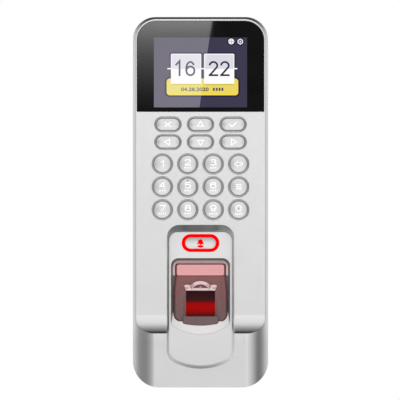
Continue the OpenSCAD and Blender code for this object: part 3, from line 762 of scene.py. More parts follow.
def main_housing():
    shell = skin("housing_shell", housing_rows(0, SEAM_Y))
    carve(shell, skin("hollow", housing_rows(HOUSING_T, SEAM_Y + 1)))
    cut(shell, rounded(14.6, -69, -16, 2, 2), CHIN_Y - 1, CHIN_Y + 4)
    dress(shell, HOUSING_SILVER, replaces=["main_housing"], crease=40)
    shell.visible_glossy = False


# ---- display ----

def display_lens():
    outline = rounded(LENS_HIGH.x, LENS_FOOT, LENS_HIGH.z, 0.35, LENS_TOP_R, steps=14)
    lens = soft_block("lens_cover", outline, FACE_Y, 0.15, LENS_HIGH.y)
    cut(lens, rounded(LIT_HALF, LIT_LOW, LIT_HIGH, 0.2, 0.2, steps=3), FACE_Y - 1, FACE_Y + 0.5)
    dress(lens, BLACK_GLASS, replaces=["display_lens"])


def flat_part(outline, front, thick=0.02):
    return slab(outline, front, front + thick)


def lit_part(name, parts, ink):
    """Joins parts into one piece of the lit picture."""
    dress(gather(name, parts), ink)


def thicken(target, depth):
    """Turns a flat front sheet into a thin solid, depth millimetres to the back."""
    with editing(target.data) as bm:
        for face in bm.faces:
            if face.normal.y > 0:
                face.normal_flip()
        made = bmesh.ops.extrude_face_region(bm, geom=bm.faces[:])["geom"]
        moved = [item for item in made if isinstance(item, bmesh.types.BMVert)]
        bmesh.ops.translate(bm, verts=moved, vec=(0, depth * MM, 0))
        bmesh.ops.recalc_face_normals(bm, faces=bm.faces)
    return target


def letters(text, width, height, cx, cz, front, heavy):
    """Flat numerals from the built-in face, fitted to a width and height."""
    curve = bpy.data.curves.new("letters", "FONT")
    curve.body = text
    curve.offset = heavy
    curve.resolution_u = 8
    made = new_object("letters", curve)
    mesh = evaluated_mesh(made)
    bpy.data.objects.remove(made)
    xs = [v.co.x for v in mesh.vertices]
    ys = [v.co.y for v in mesh.vertices]
    scale_x = width / (max(xs) - min(xs))
    scale_z = height / (max(ys) - min(ys))
    for vertex in mesh.vertices:
        x = cx + (vertex.co.x - (max(xs) + min(xs)) / 2) * scale_x
        z = cz + (vertex.co.y - (max(ys) + min(ys)) / 2) * scale_z
        vertex.co = Vector((x, front, z)) * MM
    weld(mesh)
    return thicken(new_object("letters", mesh), 0.01)


def sheet_of(outline):
    """A flat face with an outline."""
    return piece("sheet", [(x, 0, z) for x, z in outline], [list(range(len(outline)))])


def stroke(points, width, closed=False):
    """A flat ribbon along points, with mitred corners."""
    count = len(points)
    sides = []
    for i, (x, z) in enumerate(points):
        before = points[i - 1] if closed or i > 0 else points[0]
        after = points[(i + 1) % count] if closed or i < count - 1 else points[-1]
        d1 = Vector((x - before[0], z - before[1]))
        d2 = Vector((after[0] - x, after[1] - z))
        d1 = d1.normalized() if d1.length else d2.normalized()
        d2 = d2.normalized() if d2.length else d1
        across = (d1 + d2).normalized()
        normal = Vector((-across.y, across.x))
        reach = width / 2 / max(normal.dot(Vector((-d1.y, d1.x))), 0.35)
        sides.append((x + normal.x * reach, 0, z + normal.y * reach))
        sides.append((x - normal.x * reach, 0, z - normal.y * reach))
    faces = []
    for i in range(count if closed else count - 1):
        a = 2 * i
        b = 2 * ((i + 1) % count)
        faces.append((a, b, b + 1, a + 1))
    return piece("stroke", sides, faces)


def figure(kind, width, height, weight, cx, cz):
    """A numeral drawn with strokes, as a list of flat sheets."""
    w = (width - weight) / 2
    h = (height - weight) / 2
    end_w = 1 + weight / 2 / w
    end_h = 1 + weight / 2 / h

    def curve(z, rx, rz, start, end, steps=10):
        return arc(cx, cz + z * h, rx * w, start, end, steps, rz * h)

    def line(*points):
        return [(cx + x * w, cz + z * h) for x, z in points]
    strokes = {
        "1": [line((-1, 0.5), (0.85, end_h), (0.85, -end_h))],
        "2": [curve(0.46, 1, 0.54, 178, -28) + line((-0.9, -0.97)), line((-end_w, -1), (end_w, -1))],
        "3": [curve(0.52, 0.9, 0.48, 150, -90) + curve(-0.48, 1, 0.52, 90, -150)[1:]],
        "4": [line((0.45, -1), (0.45, 1), (-1, -0.4), (1, -0.4))],
        "5": [line((0.9, 1), (-0.75, 1), (-0.85, 0.1)) + curve(-0.38, 1, 0.62, 115, -150)],
        "6": [curve(0, 1, 1, 32, 180, 16) + line((-1, -0.34))],
        "7": [line((-1, 1), (1, 1), (-0.35, -1))],
        "9": [curve(0, 1, 1, 212, 360, 16) + line((1, 0.34))],
    }
    loops = {
        "0": [curve(0, 1, 1, 0, 360, 24)],
        "6": [curve(-0.34, 1, 0.66, 0, 360, 24)],
        "8": [curve(0.52, 0.85, 0.48, 0, 360, 18), curve(-0.48, 1, 0.52, 0, 360, 20)],
        "9": [curve(0.34, 1, 0.66, 0, 360, 24)],
    }
    return ([stroke(points, weight) for points in strokes.get(kind, [])]
            + [stroke(points[:-1], weight, closed=True) for points in loops.get(kind, [])])


CARD_LOW = 62.06
CARD_HIGH = 77.9
CARD_HINGE = 69.95
CARD_SPANS = [(-15.55, 0.38), (1.86, 17.73)]


def clock_cards(front):
    """Two white cards, each with a faintly shaded upper leaf, and the stubs of their axle."""
    cards = []
    leaves = []
    for left, right in CARD_SPANS:
        cards.append(flat_part(between(left, right, CARD_LOW, CARD_HIGH, 0.4, 0.6), front))
        leaf = between(left + 0.4, right - 0.4, CARD_HINGE, CARD_HIGH - 0.5, 0.05, 0.3)
        leaves.append(flat_part(leaf, front - 0.01))
    for left, right in [(-17.4, -15.5), (0.3, 1.9), (17.7, 19.3)]:
        stub = between(left, right, CARD_HINGE - 0.25, CARD_HINGE + 0.45, 0.2, 0.2)
        cards.append(flat_part(stub, front + 0.005))
    lit_part("clock_cards", cards, screen_ink("card_white", (254, 254, 255), detail=0.01))
    lit_part("clock_leaves", leaves,
             screen_ink("card_leaf", (220, 220, 229), (231, 230, 236), 0.01))


def clock_digits(front):
    parts = []
    for kind, width, cx in (("1", 3.2, -11.95), ("6", 5.2, -5.3), ("2", 5.0, 6.8), ("2", 5.0, 12.8)):
        parts += figure(kind, width, 7.9, 0.95, cx, 70.1)
    # each stroke lies a hair behind the one before
    for i, part in enumerate(parts):
        for vertex in part.data.vertices:
            vertex.co.y = (front + 0.001 * i) * MM
        thicken(part, 0.01)
    lit_part("clock_digits", parts, screen_ink("clock_ink", (46, 43, 68), (112, 110, 124), 0.01))


def date_plate(front):
    plate = rounded(18.78, 56.07, 64.86, 1.6, 1.6, cx=1.02)
    edges = [flat_part(grow(plate, 0.95), front + 0.015)]
    shadows = []
    for left, right in CARD_SPANS:
        halo = between(left - 0.72, right + 0.72, CARD_LOW, CARD_HIGH + 0.7, 0.4, 0.9)
        edges.append(flat_part(halo, front + 0.012))
        shadow = between(left + 0.3, right - 0.3, CARD_LOW - 0.55, CARD_LOW + 0.2, 0.2, 0.2)
        shadows.append(flat_part(shadow, front + 0.002))
    lit_part("plate_edge", edges, screen_ink("plate_outline", (42, 38, 71), (98, 95, 119)))
    lit_part("plate_rim", [flat_part(plate, front + 0.01)],
             screen_ink("plate_rim", (255, 222, 50), (255, 232, 96)))
    lit_part("plate_fill", [flat_part(grow(plate, -0.55), front + 0.005)],
             screen_ink("plate_fill", (235, 216, 98), (240, 227, 140)))
    lit_part("card_shadows", shadows, screen_ink("card_shadow", (205, 184, 62), (222, 207, 110)))
    parts = [letters("04.28.2020", 14.6, 1.95, -3.0, 59.2, front + 0.002, 0.03)]
    for i in range(4):
        bar = rounded(0.5, 58.4, 60.0, 0.2, 0.2, cx=7.0 + 1.5 * i)
        parts.append(flat_part(bar, front + 0.002))
    lit_part("date_figures", parts, screen_ink("date_ink", (84, 76, 92), (140, 134, 128)))


def flat_ring(cx, cz, outer, inner, front, sides=32, turn=0.0):
    """A flat ring with any number of sides."""
    big, small = [arc(cx, cz, r, turn, turn + 360, sides)[:-1] for r in (outer, inner)]
    back = front + 0.02
    return loft("ring", [(front, big), (front, small), (back, small), (back, big)], joined=True)


def status_icons(front):
    """A crossed disc and a six-sided ring, each on a dark disc."""
    globe = (16.15, 84.35)
    shield = (20.9, 84.25)
    backs = [flat_part(capsule(4.3, 4.3, *place), front + 0.01) for place in (globe, shield)]
    lit_part("icon_backs", backs, screen_ink("icon_shade", (38, 34, 60)))
    x, z = globe
    parts = [flat_ring(x, z, 1.5, 1.05, front)]
    for shift in (-0.45, 0.45):
        level = between(x - 1.2, x + 1.2, z + shift - 0.2, z + shift + 0.2, 0.1, 0.1)
        upright = between(x + shift - 0.2, x + shift + 0.2, z - 1.2, z + 1.2, 0.1, 0.1)
        parts += [flat_part(level, front), flat_part(upright, front - 0.001)]
    parts.append(flat_ring(*shield, 1.6, 1.05, front, 6, 30))
    parts.append(flat_part(capsule(0.9, 0.9, *shield), front))
    lit_part("status_icons", parts, screen_ink("icon_white", (250, 250, 252), (252, 252, 253)))


def screen():
    front = FACE_Y + 0.02
    outline = rounded(LIT_HALF - 0.02, LIT_LOW + 0.02, LIT_HIGH - 0.02, 0.2, 0.2, steps=3)
    lit_part("display_screen", [slab(outline, front, FACE_Y + 0.45)],
             screen_ink("screen_lilac", (62, 58, 79), (121, 117, 131), 0.03))
    date_plate(front - 0.03)
    clock_cards(front - 0.04)
    clock_digits(front - 0.06)
    status_icons(front - 0.03)


# ---- keypad ----

def key_collars():
    """The plate behind the fascia and a sloping collar round each key."""
    plate_front = GUIDE_LOW.y + 2
    guide = slab(rounded(GUIDE_HIGH.x, GUIDE_LOW.z, GUIDE_HIGH.z, 2, 2), plate_front, GUIDE_HIGH.y)
    holes = [slab(key_outline(n, KEY_GAP), plate_front - 1, GUIDE_HIGH.y + 1) for n in KEY_NAMES]
    carve(guide, gather("holes", holes))
    collars = []
    for node in KEY_NAMES:
        outer = key_outline(node, KEY_GAP + COLLAR_T)
        inner = key_outline(node, KEY_GAP)
        # from the outer foot over the sloping face to the inner foot
        collars.append(loft("collar", [
            (plate_front, outer), (GUIDE_LOW.y + 0.12, outer), (GUIDE_LOW.y, grow(outer, -0.1)),
            (GUIDE_LOW.y + 0.24, grow(inner, 0.1)), (GUIDE_LOW.y + 0.34, inner),
            (plate_front, inner)], joined=True))
    # the collars' darker grey is painted shade of the groove round each key
    dress(gather("key_collars", [guide] + collars), COLLAR_PAINTED_SHADE,
          replaces=["key_guide"])


def dome_drop(node, x, z):
    """How far a key's domed face lies behind its crown at a point."""
    cx, cz, half_w, half_h = key_shape(node)
    away = math.hypot(max(abs(x - cx) - (half_w - half_h), 0), z - cz)
    return KEY_CROWN * (away / half_h) ** 2


def key_cap(node):
    """A domed key with a rounded edge, its stem and its flange."""
    back = corners(node)[1].y
    radius = key_shape(node)[3]
    edge = key_outline(node, 0)
    brim = KEY_EDGE * 0.7
    levels = []
    for i in range(10):
        inset = min((radius - brim) * (1 - i / 9) + brim, radius - 0.02)
        levels.append((CROWN_Y + KEY_CROWN * ((radius - inset) / radius) ** 2, grow(edge, -inset)))
    shoulder = levels[-1][0]
    for turn in (25, 45, 65, 90):
        a = math.radians(turn)
        levels.append((shoulder + KEY_EDGE * (1 - math.cos(a)),
                       grow(edge, -brim * (1 - math.sin(a)))))
    flange = key_outline(node, KEY_FLANGE)
    levels += [(back - FLANGE_T, edge), (back - FLANGE_T, flange), (back, flange)]
    dress(loft(node + "_cap", levels), KEY_PLASTIC, node, [node], crease=50)


def on_dome(node, target, lift):
    """Wraps a flat legend over its key's dome."""
    cx, cz = key_shape(node)[:2]
    steps = [0.35 * i for i in range(-8, 9)]
    slice_at(target, [cz + step for step in steps], [cx + step for step in steps])
    for vertex in target.data.vertices:
        drop = dome_drop(node, vertex.co.x / MM, vertex.co.z / MM)
        vertex.co.y = (CROWN_Y + drop - lift) * MM
    thicken(target, 0.05)


def legend_marks(cx, cz, count):
    """Short marks below a numeral, where a telephone keypad has its letters."""
    pitch = 1.35 if count == 3 else 1.15
    places = [cx + (i - (count - 1) / 2) * pitch for i in range(count)]
    return [sheet_of(rounded(pitch * 0.3, cz - 2.35, cz - 1.7, 0.2, 0.2, cx=x, steps=3))
            for x in places]


LETTER_COUNTS = {"2": 3, "3": 3, "4": 3, "5": 3, "6": 3, "7": 4, "8": 3, "9": 4}
ARROWS = {"right": 0, "up": 90, "left": 180, "down": 270}
# strokes about the key's middle: points, weight, whether closed
SYMBOLS = {
    "0": [([(-1.6, -1.5), (-1.6, -2.3), (1.6, -2.3), (1.6, -1.5)], 0.4, False)],
    "cancel": [([(-1.6, 1.2), (1.6, -1.2)], 0.6, False), ([(-1.6, -1.2), (1.6, 1.2)], 0.6, False)],
    "enter": [([(-2.0, 0.1), (-0.6, -1.15), (2.0, 1.2)], 0.6, False)],
    "back": [([(-2.2, 0), (-0.5, 1.3), (-0.5, 0.55), (1.9, 0.55), (1.9, -0.55), (-0.5, -0.55),
               (-0.5, -1.3)], 0.42, True)],
}


def key_legend(node):
    cx, cz = key_shape(node)[:2]
    kind = node[4:]
    parts = []
    if kind.isdigit():
        wide, rise = (1.5, 0) if kind == "1" else (3.4, 0.85)
        parts += figure(kind, wide, 3.3, 0.52, cx, cz + rise)
        parts += legend_marks(cx, cz, LETTER_COUNTS.get(kind, 0))
    elif kind in ARROWS:
        corner = ARROWS[kind]
        parts.append(stroke(arc(cx, cz, 1.75, corner, corner + 240, 2), 0.48, closed=True))
    elif kind == "menu":
        for z in (cz - 1.0, cz, cz + 1.0):
            parts.append(sheet_of(rounded(1.5, z - 0.26, z + 0.26, 0.2, 0.2, cx=cx, steps=3)))
    for points, weight, closed in SYMBOLS.get(kind, []):
        parts.append(stroke([(cx + x, cz + z) for x, z in points], weight, closed))
    for i, part in enumerate(parts):
        on_dome(node, part, 0.03 + 0.003 * i)
    dress(gather(node + "_legend", parts), LEGEND, node)


def locating_pip():
    """The small raised dot on the middle key."""
    cx, cz = key_shape("key_5")[:2]
    dot = capsule(0.7, 0.7, cx, cz + 3.3, 8)
    face = CROWN_Y + dome_drop("key_5", cx, cz + 3.3)
    dress(soft_block("key_5_pip", dot, face - 0.15, 0.12, face + 0.1), PIP_GREY, "key_5")


# ---- finger reader and doorbell ----

WELL_MOUTH = bowed(WELL_HALF, WELL_TOP, 3.9, WELL_FOOT, 3, 25)
WELL_FLOOR = bowed(WELL_HALF - 0.75, WELL_TOP - 1, 3.3, WELL_FLOOR_FOOT, 3, 45)


def cowl_seat(extra):
    """The outlines of the cowl's foot and of its lip, let into the ramp."""
    foot = rounded(COWL_HALF + extra, COWL_END - extra, -44, 3.6, 1, 4.6)
    lip = bowed(LIP_HALF + extra, WINDOW_LOW + 0.2, 0.7, LIP_END - extra, 1.2, 42)
    return foot, lip


def reader_panel():
    panel = loft("reader_panel", tongue_levels(0))
    for room in (rounded(14.9, -28, -17.4, 0.5, 2), rounded(13.5, -83, -71.5, 4, 0.5)):
        cut(panel, room, PANEL_Y + 2, CHIN_Y + 1)
    well = soft_mouth(PANEL_Y, WELL_MOUTH, 0.3) + [(RAMP_FOOT_Y, WELL_FLOOR), (FLOOR_Y, WELL_FLOOR)]
    carve(panel, loft("well", well))
    for outline in cowl_seat(0.05):
        cut(panel, outline, PANEL_Y + 1.5, FLOOR_Y)
    cut(panel, rounded(12.2, -61.4, -33.2, 1, 1), PANEL_Y + 2, CHIN_Y + 1)
    ring = capsule(RING_SPAN_X + 0.1, RING_SPAN_Z + 0.1, 0, BELL_Z)
    soft_cut(panel, ring, PANEL_Y, 0.1, PANEL_Y + 3)
    dress(panel, PANEL_SILVER, replaces=["sensor_panel"])

    def in_well(middle):
        level = WELL_FOOT - 0.2 < middle.z < WELL_TOP + 0.5
        return level and abs(middle.x) < WELL_HALF + 0.15 and middle.y > PANEL_Y + 0.2

    def well_wall(middle, normal):
        upright = abs(normal.y) < 0.6 and middle.z > WELL_FLOOR_FOOT
        return in_well(middle) and (upright or middle.y > FLOOR_Y - 0.3)

    def well_ramp(middle, normal):
        return in_well(middle) and abs(normal.y) >= 0.6 and middle.y < FLOOR_Y - 0.3

    def tongue_side(middle, normal):
        outside = abs(middle.x) > 16.1 or middle.z < -80
        return outside and abs(normal.y) < 0.75 and middle.y > PANEL_Y + 0.1
    # painted shade on the well's walls, painted light on its ramp, and painted light and shade on the
    # tongue's sides
    paint_light_and_shade_on_faces(panel, WELL_PAINTED_SHADE, well_wall)
    paint_light_and_shade_on_faces(panel, RAMP_PAINTED_LIGHT, well_ramp)
    paint_light_and_shade_on_faces(panel, PANEL_SIDE_LIT_AND_SHADED, tongue_side)


def doorbell():
    """The lit ring, and the button with its shallow dish and its flange."""
    outer = capsule(RING_SPAN_X, RING_SPAN_Z, 0, BELL_Z)
    inner = capsule(BELL_SPAN_X + 0.3, BELL_SPAN_Z + 0.3, 0, BELL_Z)
    ring = soft_block("doorbell_ring", outer, RING_LOW.y, 0.12, RING_HIGH.y)
    soft_cut(ring, inner, RING_LOW.y, 0.12, RING_HIGH.y + 1)
    dress(ring, RING_RED, replaces=["bell_ring"])
    ring.visible_glossy = False
    ring.visible_diffuse = False
    cap = capsule(BELL_SPAN_X, BELL_SPAN_Z, 0, BELL_Z)
    flange = capsule(BELL_SPAN_X + 1.4, BELL_SPAN_Z + 1.4, 0, BELL_Z)
    flange_front = BELL_HIGH.y - 0.65
    dish = [(BELL_LOW.y + 0.35 * (1 - (1 - i / 8) ** 2), grow(cap, -0.35 - 0.32 * i))
            for i in reversed(range(9))]
    sides = [(flange_front, cap), (flange_front, flange), (BELL_HIGH.y, flange)]
    button = loft("doorbell_button", dish + soft_edge(BELL_LOW.y, cap, 0.25) + sides)
    # the button's paint carries a painted shadow along its top, under the ring
    dress(button, BUTTON_SILVER, "bell_button", ["bell_button"], crease=50)
    bell_icon(BELL_LOW.y - 0.02)


def bell_icon(depth):
    """A plain hand bell over its base."""
    z = BELL_Z
    flare = [(-1.85, z - 0.55), (-1.85, z - 0.3), (-1.4, z + 0.1), (-1.25, z + 0.7)]
    left = flare + arc(0, z + 0.85, 1.2, 180, 90, 8)
    bell = left + [(-x, zz) for x, zz in reversed(left[:-1])]
    clapper = arc(0, z - 0.5, 0.45, 180, 360, 8)
    base = arc(0, z - 1.75, 1.65, 0, 360, 32, 0.68)[:-1]
    parts = [flat_part(bell[::-1], depth, 0.4), flat_part(clapper, depth + 0.01, 0.4),
             flat_part(base, depth, 0.4)]
    icon = dress(gather("doorbell_icon", parts), ICON_RED, "bell_button")
    icon.visible_glossy = False


def cowl_section(half, crest, z):
    """One cross-section of the cowl: rounded side, raised cheek, flat middle."""
    base = FLOOR_Y + 0.02
    side = [(half, base), (half, base - 0.2)]
    for i in range(1, 7):
        a = math.radians(15 * i)
        side.append((half - 1.5 * (1 - math.cos(a)),
                     base - 0.2 - (base - 0.2 - COWL_Y + crest) * math.sin(a)))
    for i in range(1, 6):
        t = i / 5
        x = (half - 1.5) + (CHEEK_X - half + 1.5) * t
        side.append((x, COWL_Y - crest * (1 - t * t * (3 - 2 * t))))
    left = [(-x, y, z) for x, y in side]
    return left + [(x, y, z) for x, y in reversed(side)]


def cowl_rows():
    """Cross-sections of the reader's cowl, with a rounded cheek down each side."""
    rx = 3.6
    rz = 4.6
    top_corner = 1.5
    levels = [COWL_END + rz * (1 - math.cos(math.radians(9 * i))) for i in range(11)]
    levels += [-55, -52, -49, -46, -43.5, -41, -39, -37, -35]
    levels += [COWL_TOP - top_corner * (1 - math.sin(math.radians(15 * i))) for i in range(7)]
    rows = []
    for z in levels:
        blend = min(max((-35 - z) / 13, 0), 1)
        blend = blend * blend * (3 - 2 * blend)
        half = COWL_TOP_HALF + (COWL_HALF - COWL_TOP_HALF) * blend
        below = max(COWL_END + rz - z, 0) / rz
        half -= rx * (1 - math.sqrt(max(1 - below**2, 0)))
        above = max(z - (COWL_TOP - top_corner), 0)
        half -= top_corner - math.sqrt(max(top_corner**2 - above**2, 0))
        rows.append(cowl_section(half, 0.55 * blend, z))
    return rows


def reader_cowl():
    cowl = skin("reader_cowl", cowl_rows())
    carve(cowl, soft_block("lip", cowl_seat(0)[1], -26.9, 0.5, FLOOR_Y + 0.02), "UNION")
    bar = rounded(BAR_HIGH.x + 0.1, BAR_LOW.z - 0.1, BAR_HIGH.z + 0.1, 1.1, 1.1)
    window = rounded(WINDOW_HALF, WINDOW_LOW, WINDOW_HIGH, 0.6, 0.6)
    soft_cut(cowl, bar, COWL_Y, 0.25, -22)
    soft_cut(cowl, window, COWL_Y, 0.2, -22)
    slice_at(cowl, [FRAME_TOP, FRAME_END, -50, -54, -57])
    dress(cowl, SMOKE, replaces=["sensor_cowl"], crease=40)

    # painted shade on the flat frame round the window
    def window_frame(middle, normal):
        level = FRAME_END < middle.z < FRAME_TOP and middle.y > COWL_Y - 0.05
        return level and abs(middle.x) < CHEEK_X
    paint_light_and_shade_on_faces(cowl, FRAME_PAINTED_SHADE, window_frame)


def light_bar():
    outline = rounded(BAR_HIGH.x, BAR_LOW.z, BAR_HIGH.z, 1.0, 1.0)
    # the bar's glow is painted highlight, standing for the light a sloping facet catches
    bar = soft_block("reader_bar_painted_glow", outline, BAR_LOW.y, 0.35, BAR_HIGH.y)
    dress(bar, BAR_PAINTED_HIGHLIGHT, replaces=["light_bar"])


def guide_rim():
    """The light guide's rim that shows between the cowl and the well, above and beside the bar. Its
    faint glow is painted light, and its darkening towards the top is painted shade.
    """
    outer = grow(WELL_FLOOR, -0.03)
    rim = loft("guide_rim", [(-25.6, grow(outer, -0.15)), (-25.4, outer), (FLOOR_Y - 0.01, outer)])
    cut(rim, rounded(16, -70, BAR_LOW.z, 0.1, 0.1), -27, -23)
    cut(rim, rounded(13.45, -50, -32.22, 0.5, 1.7), -27, -23)
    dress(rim, RIM_PAINTED_GLOW_AND_SHADE)


def finger_stop():
    """The arch, lugs and sill that a fingertip meets above the window. Their light pink is painted
    highlight; the mid pink bands and the dark sheets in the hollow and creases are painted shade.
    """
    back = COWL_Y + 0.3
    centre_z = -46.9
    arch = arc(0, centre_z, 6.3, 25, 155, 24, 5.45) + arc(0, centre_z, 4.6, 160, 20, 20, 3.6)
    sill = rounded(7.6, WINDOW_HIGH - 0.05, -45.15, 0.2, 0.3)
    pip = [(0.75, -45.2), (0.5, -44.4), (0, -44.0), (-0.5, -44.4), (-0.75, -45.2)]
    # light pink parts carry painted highlight, mid pink bands painted shade, dark sheets painted shade
    # in the hollow and creases
    bright = [soft_block("arch", arch, -27.3, 0.3, back), soft_block("sill", sill, -26.6, 0.3, back)]
    shaded = [loft("pip", [(-26.7, grow(pip, -0.1)), (back, pip)])]
    dark = [flat_part(arc(0, centre_z, 4.7, 20, 160, 20, 3.65), COWL_Y - 0.03)]
    lug = [(4.9, -45.0), (5.4, -43.7), (7.2, -43.3), (8.7, -43.8), (8.4, -44.6), (7.7, -46.4),
           (5.2, -46.4)]
    band = [(3.0, -43.4), (4.0, -42.95), (5.35, -44.4), (5.3, -45.2), (4.3, -45.2), (3.9, -44.2)]
    cheek = [(6.1, -44.7), (7.5, -44.9), (8.15, -44.6), (7.75, -45.7), (6.5, -45.6)]
    crease = [(4.75, -45.2), (4.85, -44.0), (5.2, -43.9), (5.15, -45.2)]
    for side in (-1, 1):
        # mirrored outlines run the other way round
        facing = [[(side * x, z) for x, z in outline[::-side]]
                  for outline in (lug, band, cheek, crease)]
        bright.append(soft_block("lug", facing[0], -27.1, 0.25, back))
        shaded += [flat_part(facing[1], -27.33), flat_part(facing[2], -27.13)]
        dark.append(flat_part(facing[3], -27.36))
    for name, parts, material in (("finger_stop", bright, STOP_PAINTED_HIGHLIGHT),
                                  ("finger_stop_painted_shade", shaded, STOP_SHADE),
                                  ("finger_stop_shadow_sheets", dark, HOLLOW_PAINTED_SHADE)):
        dress(gather(name, parts), material, crease=45)


def prism():
    """The glass block behind the window, with its face leaning towards the finger."""
    side = [(-24.25, -45.5), (-23.4, -61.2), (-13.2, -61.2), (-13.2, -59.8), (-22.4, -45.5)]
    middle_y, middle_z = (-19.5, -54.5)

    def section(x, inset):
        return [(x, y + (middle_y - y) * inset, z + (middle_z - z) * inset) for y, z in side]
    half = PRISM_HIGH.x
    block = skin("reader_prism", [section(-half, 0.03), section(-half + 0.3, 0),
                                  section(half - 0.3, 0), section(half, 0.03)])
    dress(block, prism_glass(), replaces=["finger_prism"])


# ---- carried-over nodes ----

INSIDE = {
    # slot: colour, metallic, roughness, colour variation, patch size, grain size, bump
    "zinc_steel": ((0.55, 0.56, 0.57), 1.0, 0.38, 0.12, 180.0, 2500.0, 0.05),
    "dark_steel": ((0.16, 0.16, 0.17), 1.0, 0.42, 0.10, 900.0, 6000.0, 0.05),
    "bright_steel": ((0.68, 0.68, 0.70), 1.0, 0.25, 0.06, 900.0, 6000.0, 0.04),
    "dome_steel": ((0.72, 0.70, 0.62), 1.0, 0.22, 0.06, 900.0, 6000.0, 0.03),
    "black_abs": ((0.028, 0.029, 0.031), 0.0, 0.52, 0.10, 300.0, 3200.0, 0.35),
    "adhesive_tape": ((0.05, 0.05, 0.05), 0.0, 0.8, 0.15, 500.0, 4000.0, 0.2),
    "seal_rubber": ((0.02, 0.02, 0.02), 0.0, 0.75, 0.12, 500.0, 5000.0, 0.2),
    "silicone_mat": ((0.55, 0.55, 0.56), 0.0, 0.65, 0.05, 300.0, 5000.0, 0.1),
    "ribbon_film": ((0.50, 0.22, 0.03), 0.1, 0.3, 0.12, 700.0, 3000.0, 0.05),
    "circuit_board": ((0.012, 0.10, 0.035), 0.1, 0.35, 0.35, 1400.0, 5000.0, 0.15),
    "chip_epoxy": ((0.018, 0.018, 0.02), 0.0, 0.55, 0.15, 900.0, 7000.0, 0.15),
    "capacitor_sleeve": ((0.02, 0.05, 0.22), 0.0, 0.28, 0.1, 600.0, 5000.0, 0.04),
    "relay_case": ((0.03, 0.12, 0.42), 0.0, 0.32, 0.08, 500.0, 4000.0, 0.05),
    "terminal_plastic": ((0.03, 0.28, 0.10), 0.0, 0.45, 0.1, 500.0, 4000.0, 0.08),
    "ivory_plastic": ((0.72, 0.68, 0.55), 0.0, 0.45, 0.05, 500.0, 4000.0, 0.05),
    "red_lamp": ((0.6, 0.02, 0.02), 0.0, 0.2, 0.1, 900.0, 5000.0, 0.02),
    "display_glass": ((0.03, 0.035, 0.045), 0.0, 0.12, 0.1, 200.0, 4000.0, 0.01),
}


def dress_carried_nodes():
    """Gives every CAD node that still shows a procedural finish from its material slot."""
    slots = {part["node"]: part["material_slot"] for part in frame["record"]["subparts"]}
    made = {}
    for name, node in frame["nodes"].items():
        if node.hide_render:
            continue
        wanted = slots[name]
        if wanted not in made:
            made[wanted] = surface("inside_" + wanted, *INSIDE[wanted])
        node.data.materials.clear()
        node.data.materials.append(made[wanted])


# ---- stage, in metres ----

CAMERA_GAP = 6.0
FRAME_WIDTH = 0.210
SENSOR = 36.0
AIM = Vector((-0.00026, 0, 0.0011))
FLOOR_HALF = 1.6
FLOOR_GAP = 0.12
CARD_GAP = 2.0
CARD_STRENGTH = 4.7
STUDIO_LEVEL = 1.55
VIEWER_SPOT = 1.6 / 180


def camera():
    lens = bpy.data.cameras.new("view")
    lens.sensor_width = SENSOR
    lens.lens = SENSOR * CAMERA_GAP / FRAME_WIDTH
    lens.clip_end = 60
    made = new_object("view", lens)
    made.location = (AIM.x, FACE_Y * MM - CAMERA_GAP, AIM.z)
    made.rotation_euler = (math.radians(90), 0, 0)
    bpy.context.scene.camera = made


def stage_sheet(name, points, material):
    """A flat four-sided part of the stage."""
    mesh = bpy.data.meshes.new(name)
    mesh.from_pydata(points, [], [(0, 1, 2, 3)])
    mesh.materials.append(material)
    made = new_object(name, mesh)
    made.visible_diffuse = False
    made.visible_shadow = False
    return made


def floor():
    half = FLOOR_HALF
    z = BODY_LOW.z * MM - FLOOR_GAP
    paint = surface("floor_paint", 0.86, 0.0, 0.8, vary=0.01, patch=3.0, grain=300.0,
                    Emission_Color=(1, 1, 1, 1), Emission_Strength=0.35)
    made = stage_sheet("floor", [(-half, -half, z), (half, -half, z), (half, half, z),
                                 (-half, half, z)], paint)
    made.visible_glossy = False


def card_light(low, high):
    """A soft light that fades downwards, and lights nothing by way of a matt surface."""
    material = bpy.data.materials.new("card_light")
    material.use_nodes = True
    tree = material.node_tree
    tree.nodes.clear()
    fall = [(0.0, 0.005), (0.15, 0.035), (0.3, 0.098), (0.45, 0.195), (0.6, 0.32), (0.75, 0.52),
            (0.88, 0.76), (1.0, 1.0)]
    colour = ramp(tree, place_in_object(tree, "Z", low / MM, high / MM), fall)
    path = add(tree, "LightPath")
    direct = maths(tree, "LESS_THAN", path.outputs["Diffuse Depth"], 0.5)
    light = add(tree, "Emission", {"Color": colour,
                                   "Strength": maths(tree, "MULTIPLY", direct, CARD_STRENGTH)})
    add(tree, "OutputMaterial", {"Surface": light.outputs[0]})
    return material


def glare_card():
    """A slanting soft light that only the display's glass mirrors back to the viewer."""
    spread = 1 + CARD_GAP / CAMERA_GAP

    def mirrored(x, z):
        return (AIM.x + (x * MM - AIM.x) * spread, FACE_Y * MM - CARD_GAP,
                AIM.z + (z * MM - AIM.z) * spread)
    top = LENS_HIGH.z + 6
    foot = LENS_FOOT + 1.5
    left = LENS_LOW.x - 6
    edge_foot, edge_top = [SHEEN_X + SHEEN_SLOPE * (z - LCD_Z) for z in (foot, top)]
    light = card_light(mirrored(0, foot)[2], mirrored(0, LENS_HIGH.z)[2])
    made = stage_sheet("glare_card", [mirrored(left, foot), mirrored(edge_foot, foot),
                                      mirrored(edge_top, top), mirrored(left, top)], light)
    made.visible_camera = False
    # only the display's lens is lit by it
    lit = bpy.data.collections.new("lit_by_card")
    lit.objects.link(bpy.data.objects["lens_cover"])
    made.light_linking.receiver_collection = lit


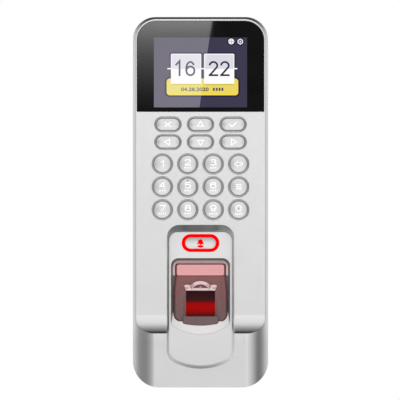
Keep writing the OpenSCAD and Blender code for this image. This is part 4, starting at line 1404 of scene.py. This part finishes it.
def studio():
    """Soft light by direction: bright in front, falling off to the sides, dark above and behind."""
    world = bpy.data.worlds.new("studio")
    bpy.context.scene.world = world
    world.use_nodes = True
    tree = world.node_tree
    tree.nodes.clear()
    x, y, z = position(tree, "Generated")
    away = maths(tree, "ARCCOSINE", maths(tree, "MULTIPLY", y, -1))
    angle = maths(tree, "DIVIDE", away, math.pi)

    def profile(*stops):
        """Brightness by the angle from straight ahead, in degrees."""
        return ramp(tree, angle, [(degrees / 180, level) for degrees, level in stops])
    left = profile((0, 1.03), (4, 0.97), (8, 0.70), (12, 0.58), (22, 0.44), (33, 0.32), (46, 0.245),
                   (60, 0.24), (85, 0.295), (99, 0.38), (116, 0.545), (132, 0.64), (154, 0.62),
                   (180, 0.5))
    right = profile((0, 1.03), (5, 1.0), (12, 0.86), (22, 0.74), (33, 0.6), (43, 0.464), (54, 0.29),
                    (68, 0.17), (84, 0.22), (99, 0.365), (116, 0.552), (136, 0.66), (154, 0.62),
                    (180, 0.5))
    below = profile((0, 1.03), (12, 1.0), (24, 0.96), (50, 0.87), (64, 0.75), (78, 0.53), (96, 0.29),
                    (116, 0.15), (144, 0.06), (180, 0.03))
    above = profile((0, 1.03), (12, 0.98), (24, 0.88), (50, 0.9), (66, 0.6), (84, 0.35), (100, 0.2),
                    (120, 0.04), (180, 0.03))
    upright = mix(tree, maths(tree, "GREATER_THAN", z, 0), below, above)
    side = mix(tree, maths(tree, "GREATER_THAN", x, 0), left, right)
    across = maths(tree, "MULTIPLY", x, x)
    whole = maths(tree, "ADD", across, maths(tree, "MULTIPLY", z, z))
    flat = maths(tree, "DIVIDE", across, maths(tree, "ADD", whole, 1e-5))
    level = mix(tree, maths(tree, "POWER", flat, 2.0), upright, side)
    # the viewer's own dark spot, which flat glass mirrors
    seen = maths(tree, "GREATER_THAN", angle, VIEWER_SPOT)
    strength = maths(tree, "MULTIPLY", seen, STUDIO_LEVEL)
    light = add(tree, "Background", {"Color": level, "Strength": strength})
    plain = add(tree, "Background", {"Color": (1, 1, 1, 1), "Strength": 1.0})
    path = add(tree, "LightPath")
    both = add(tree, "MixShader", {0: path.outputs["Is Camera Ray"], 1: light.outputs[0],
                                   2: plain.outputs[0]})
    add(tree, "OutputWorld", {"Surface": both.outputs[0]})
    bpy.context.scene.view_settings.view_transform = "Standard"


# ---- the terminal ----

camera()
main_housing()
front_fascia()
display_lens()
screen()
key_collars()
for key in KEY_NAMES:
    key_cap(key)
    key_legend(key)
locating_pip()
reader_panel()
reader_cowl()
light_bar()
guide_rim()
finger_stop()
prism()
doorbell()
dress_carried_nodes()
floor()
glare_card()
studio()
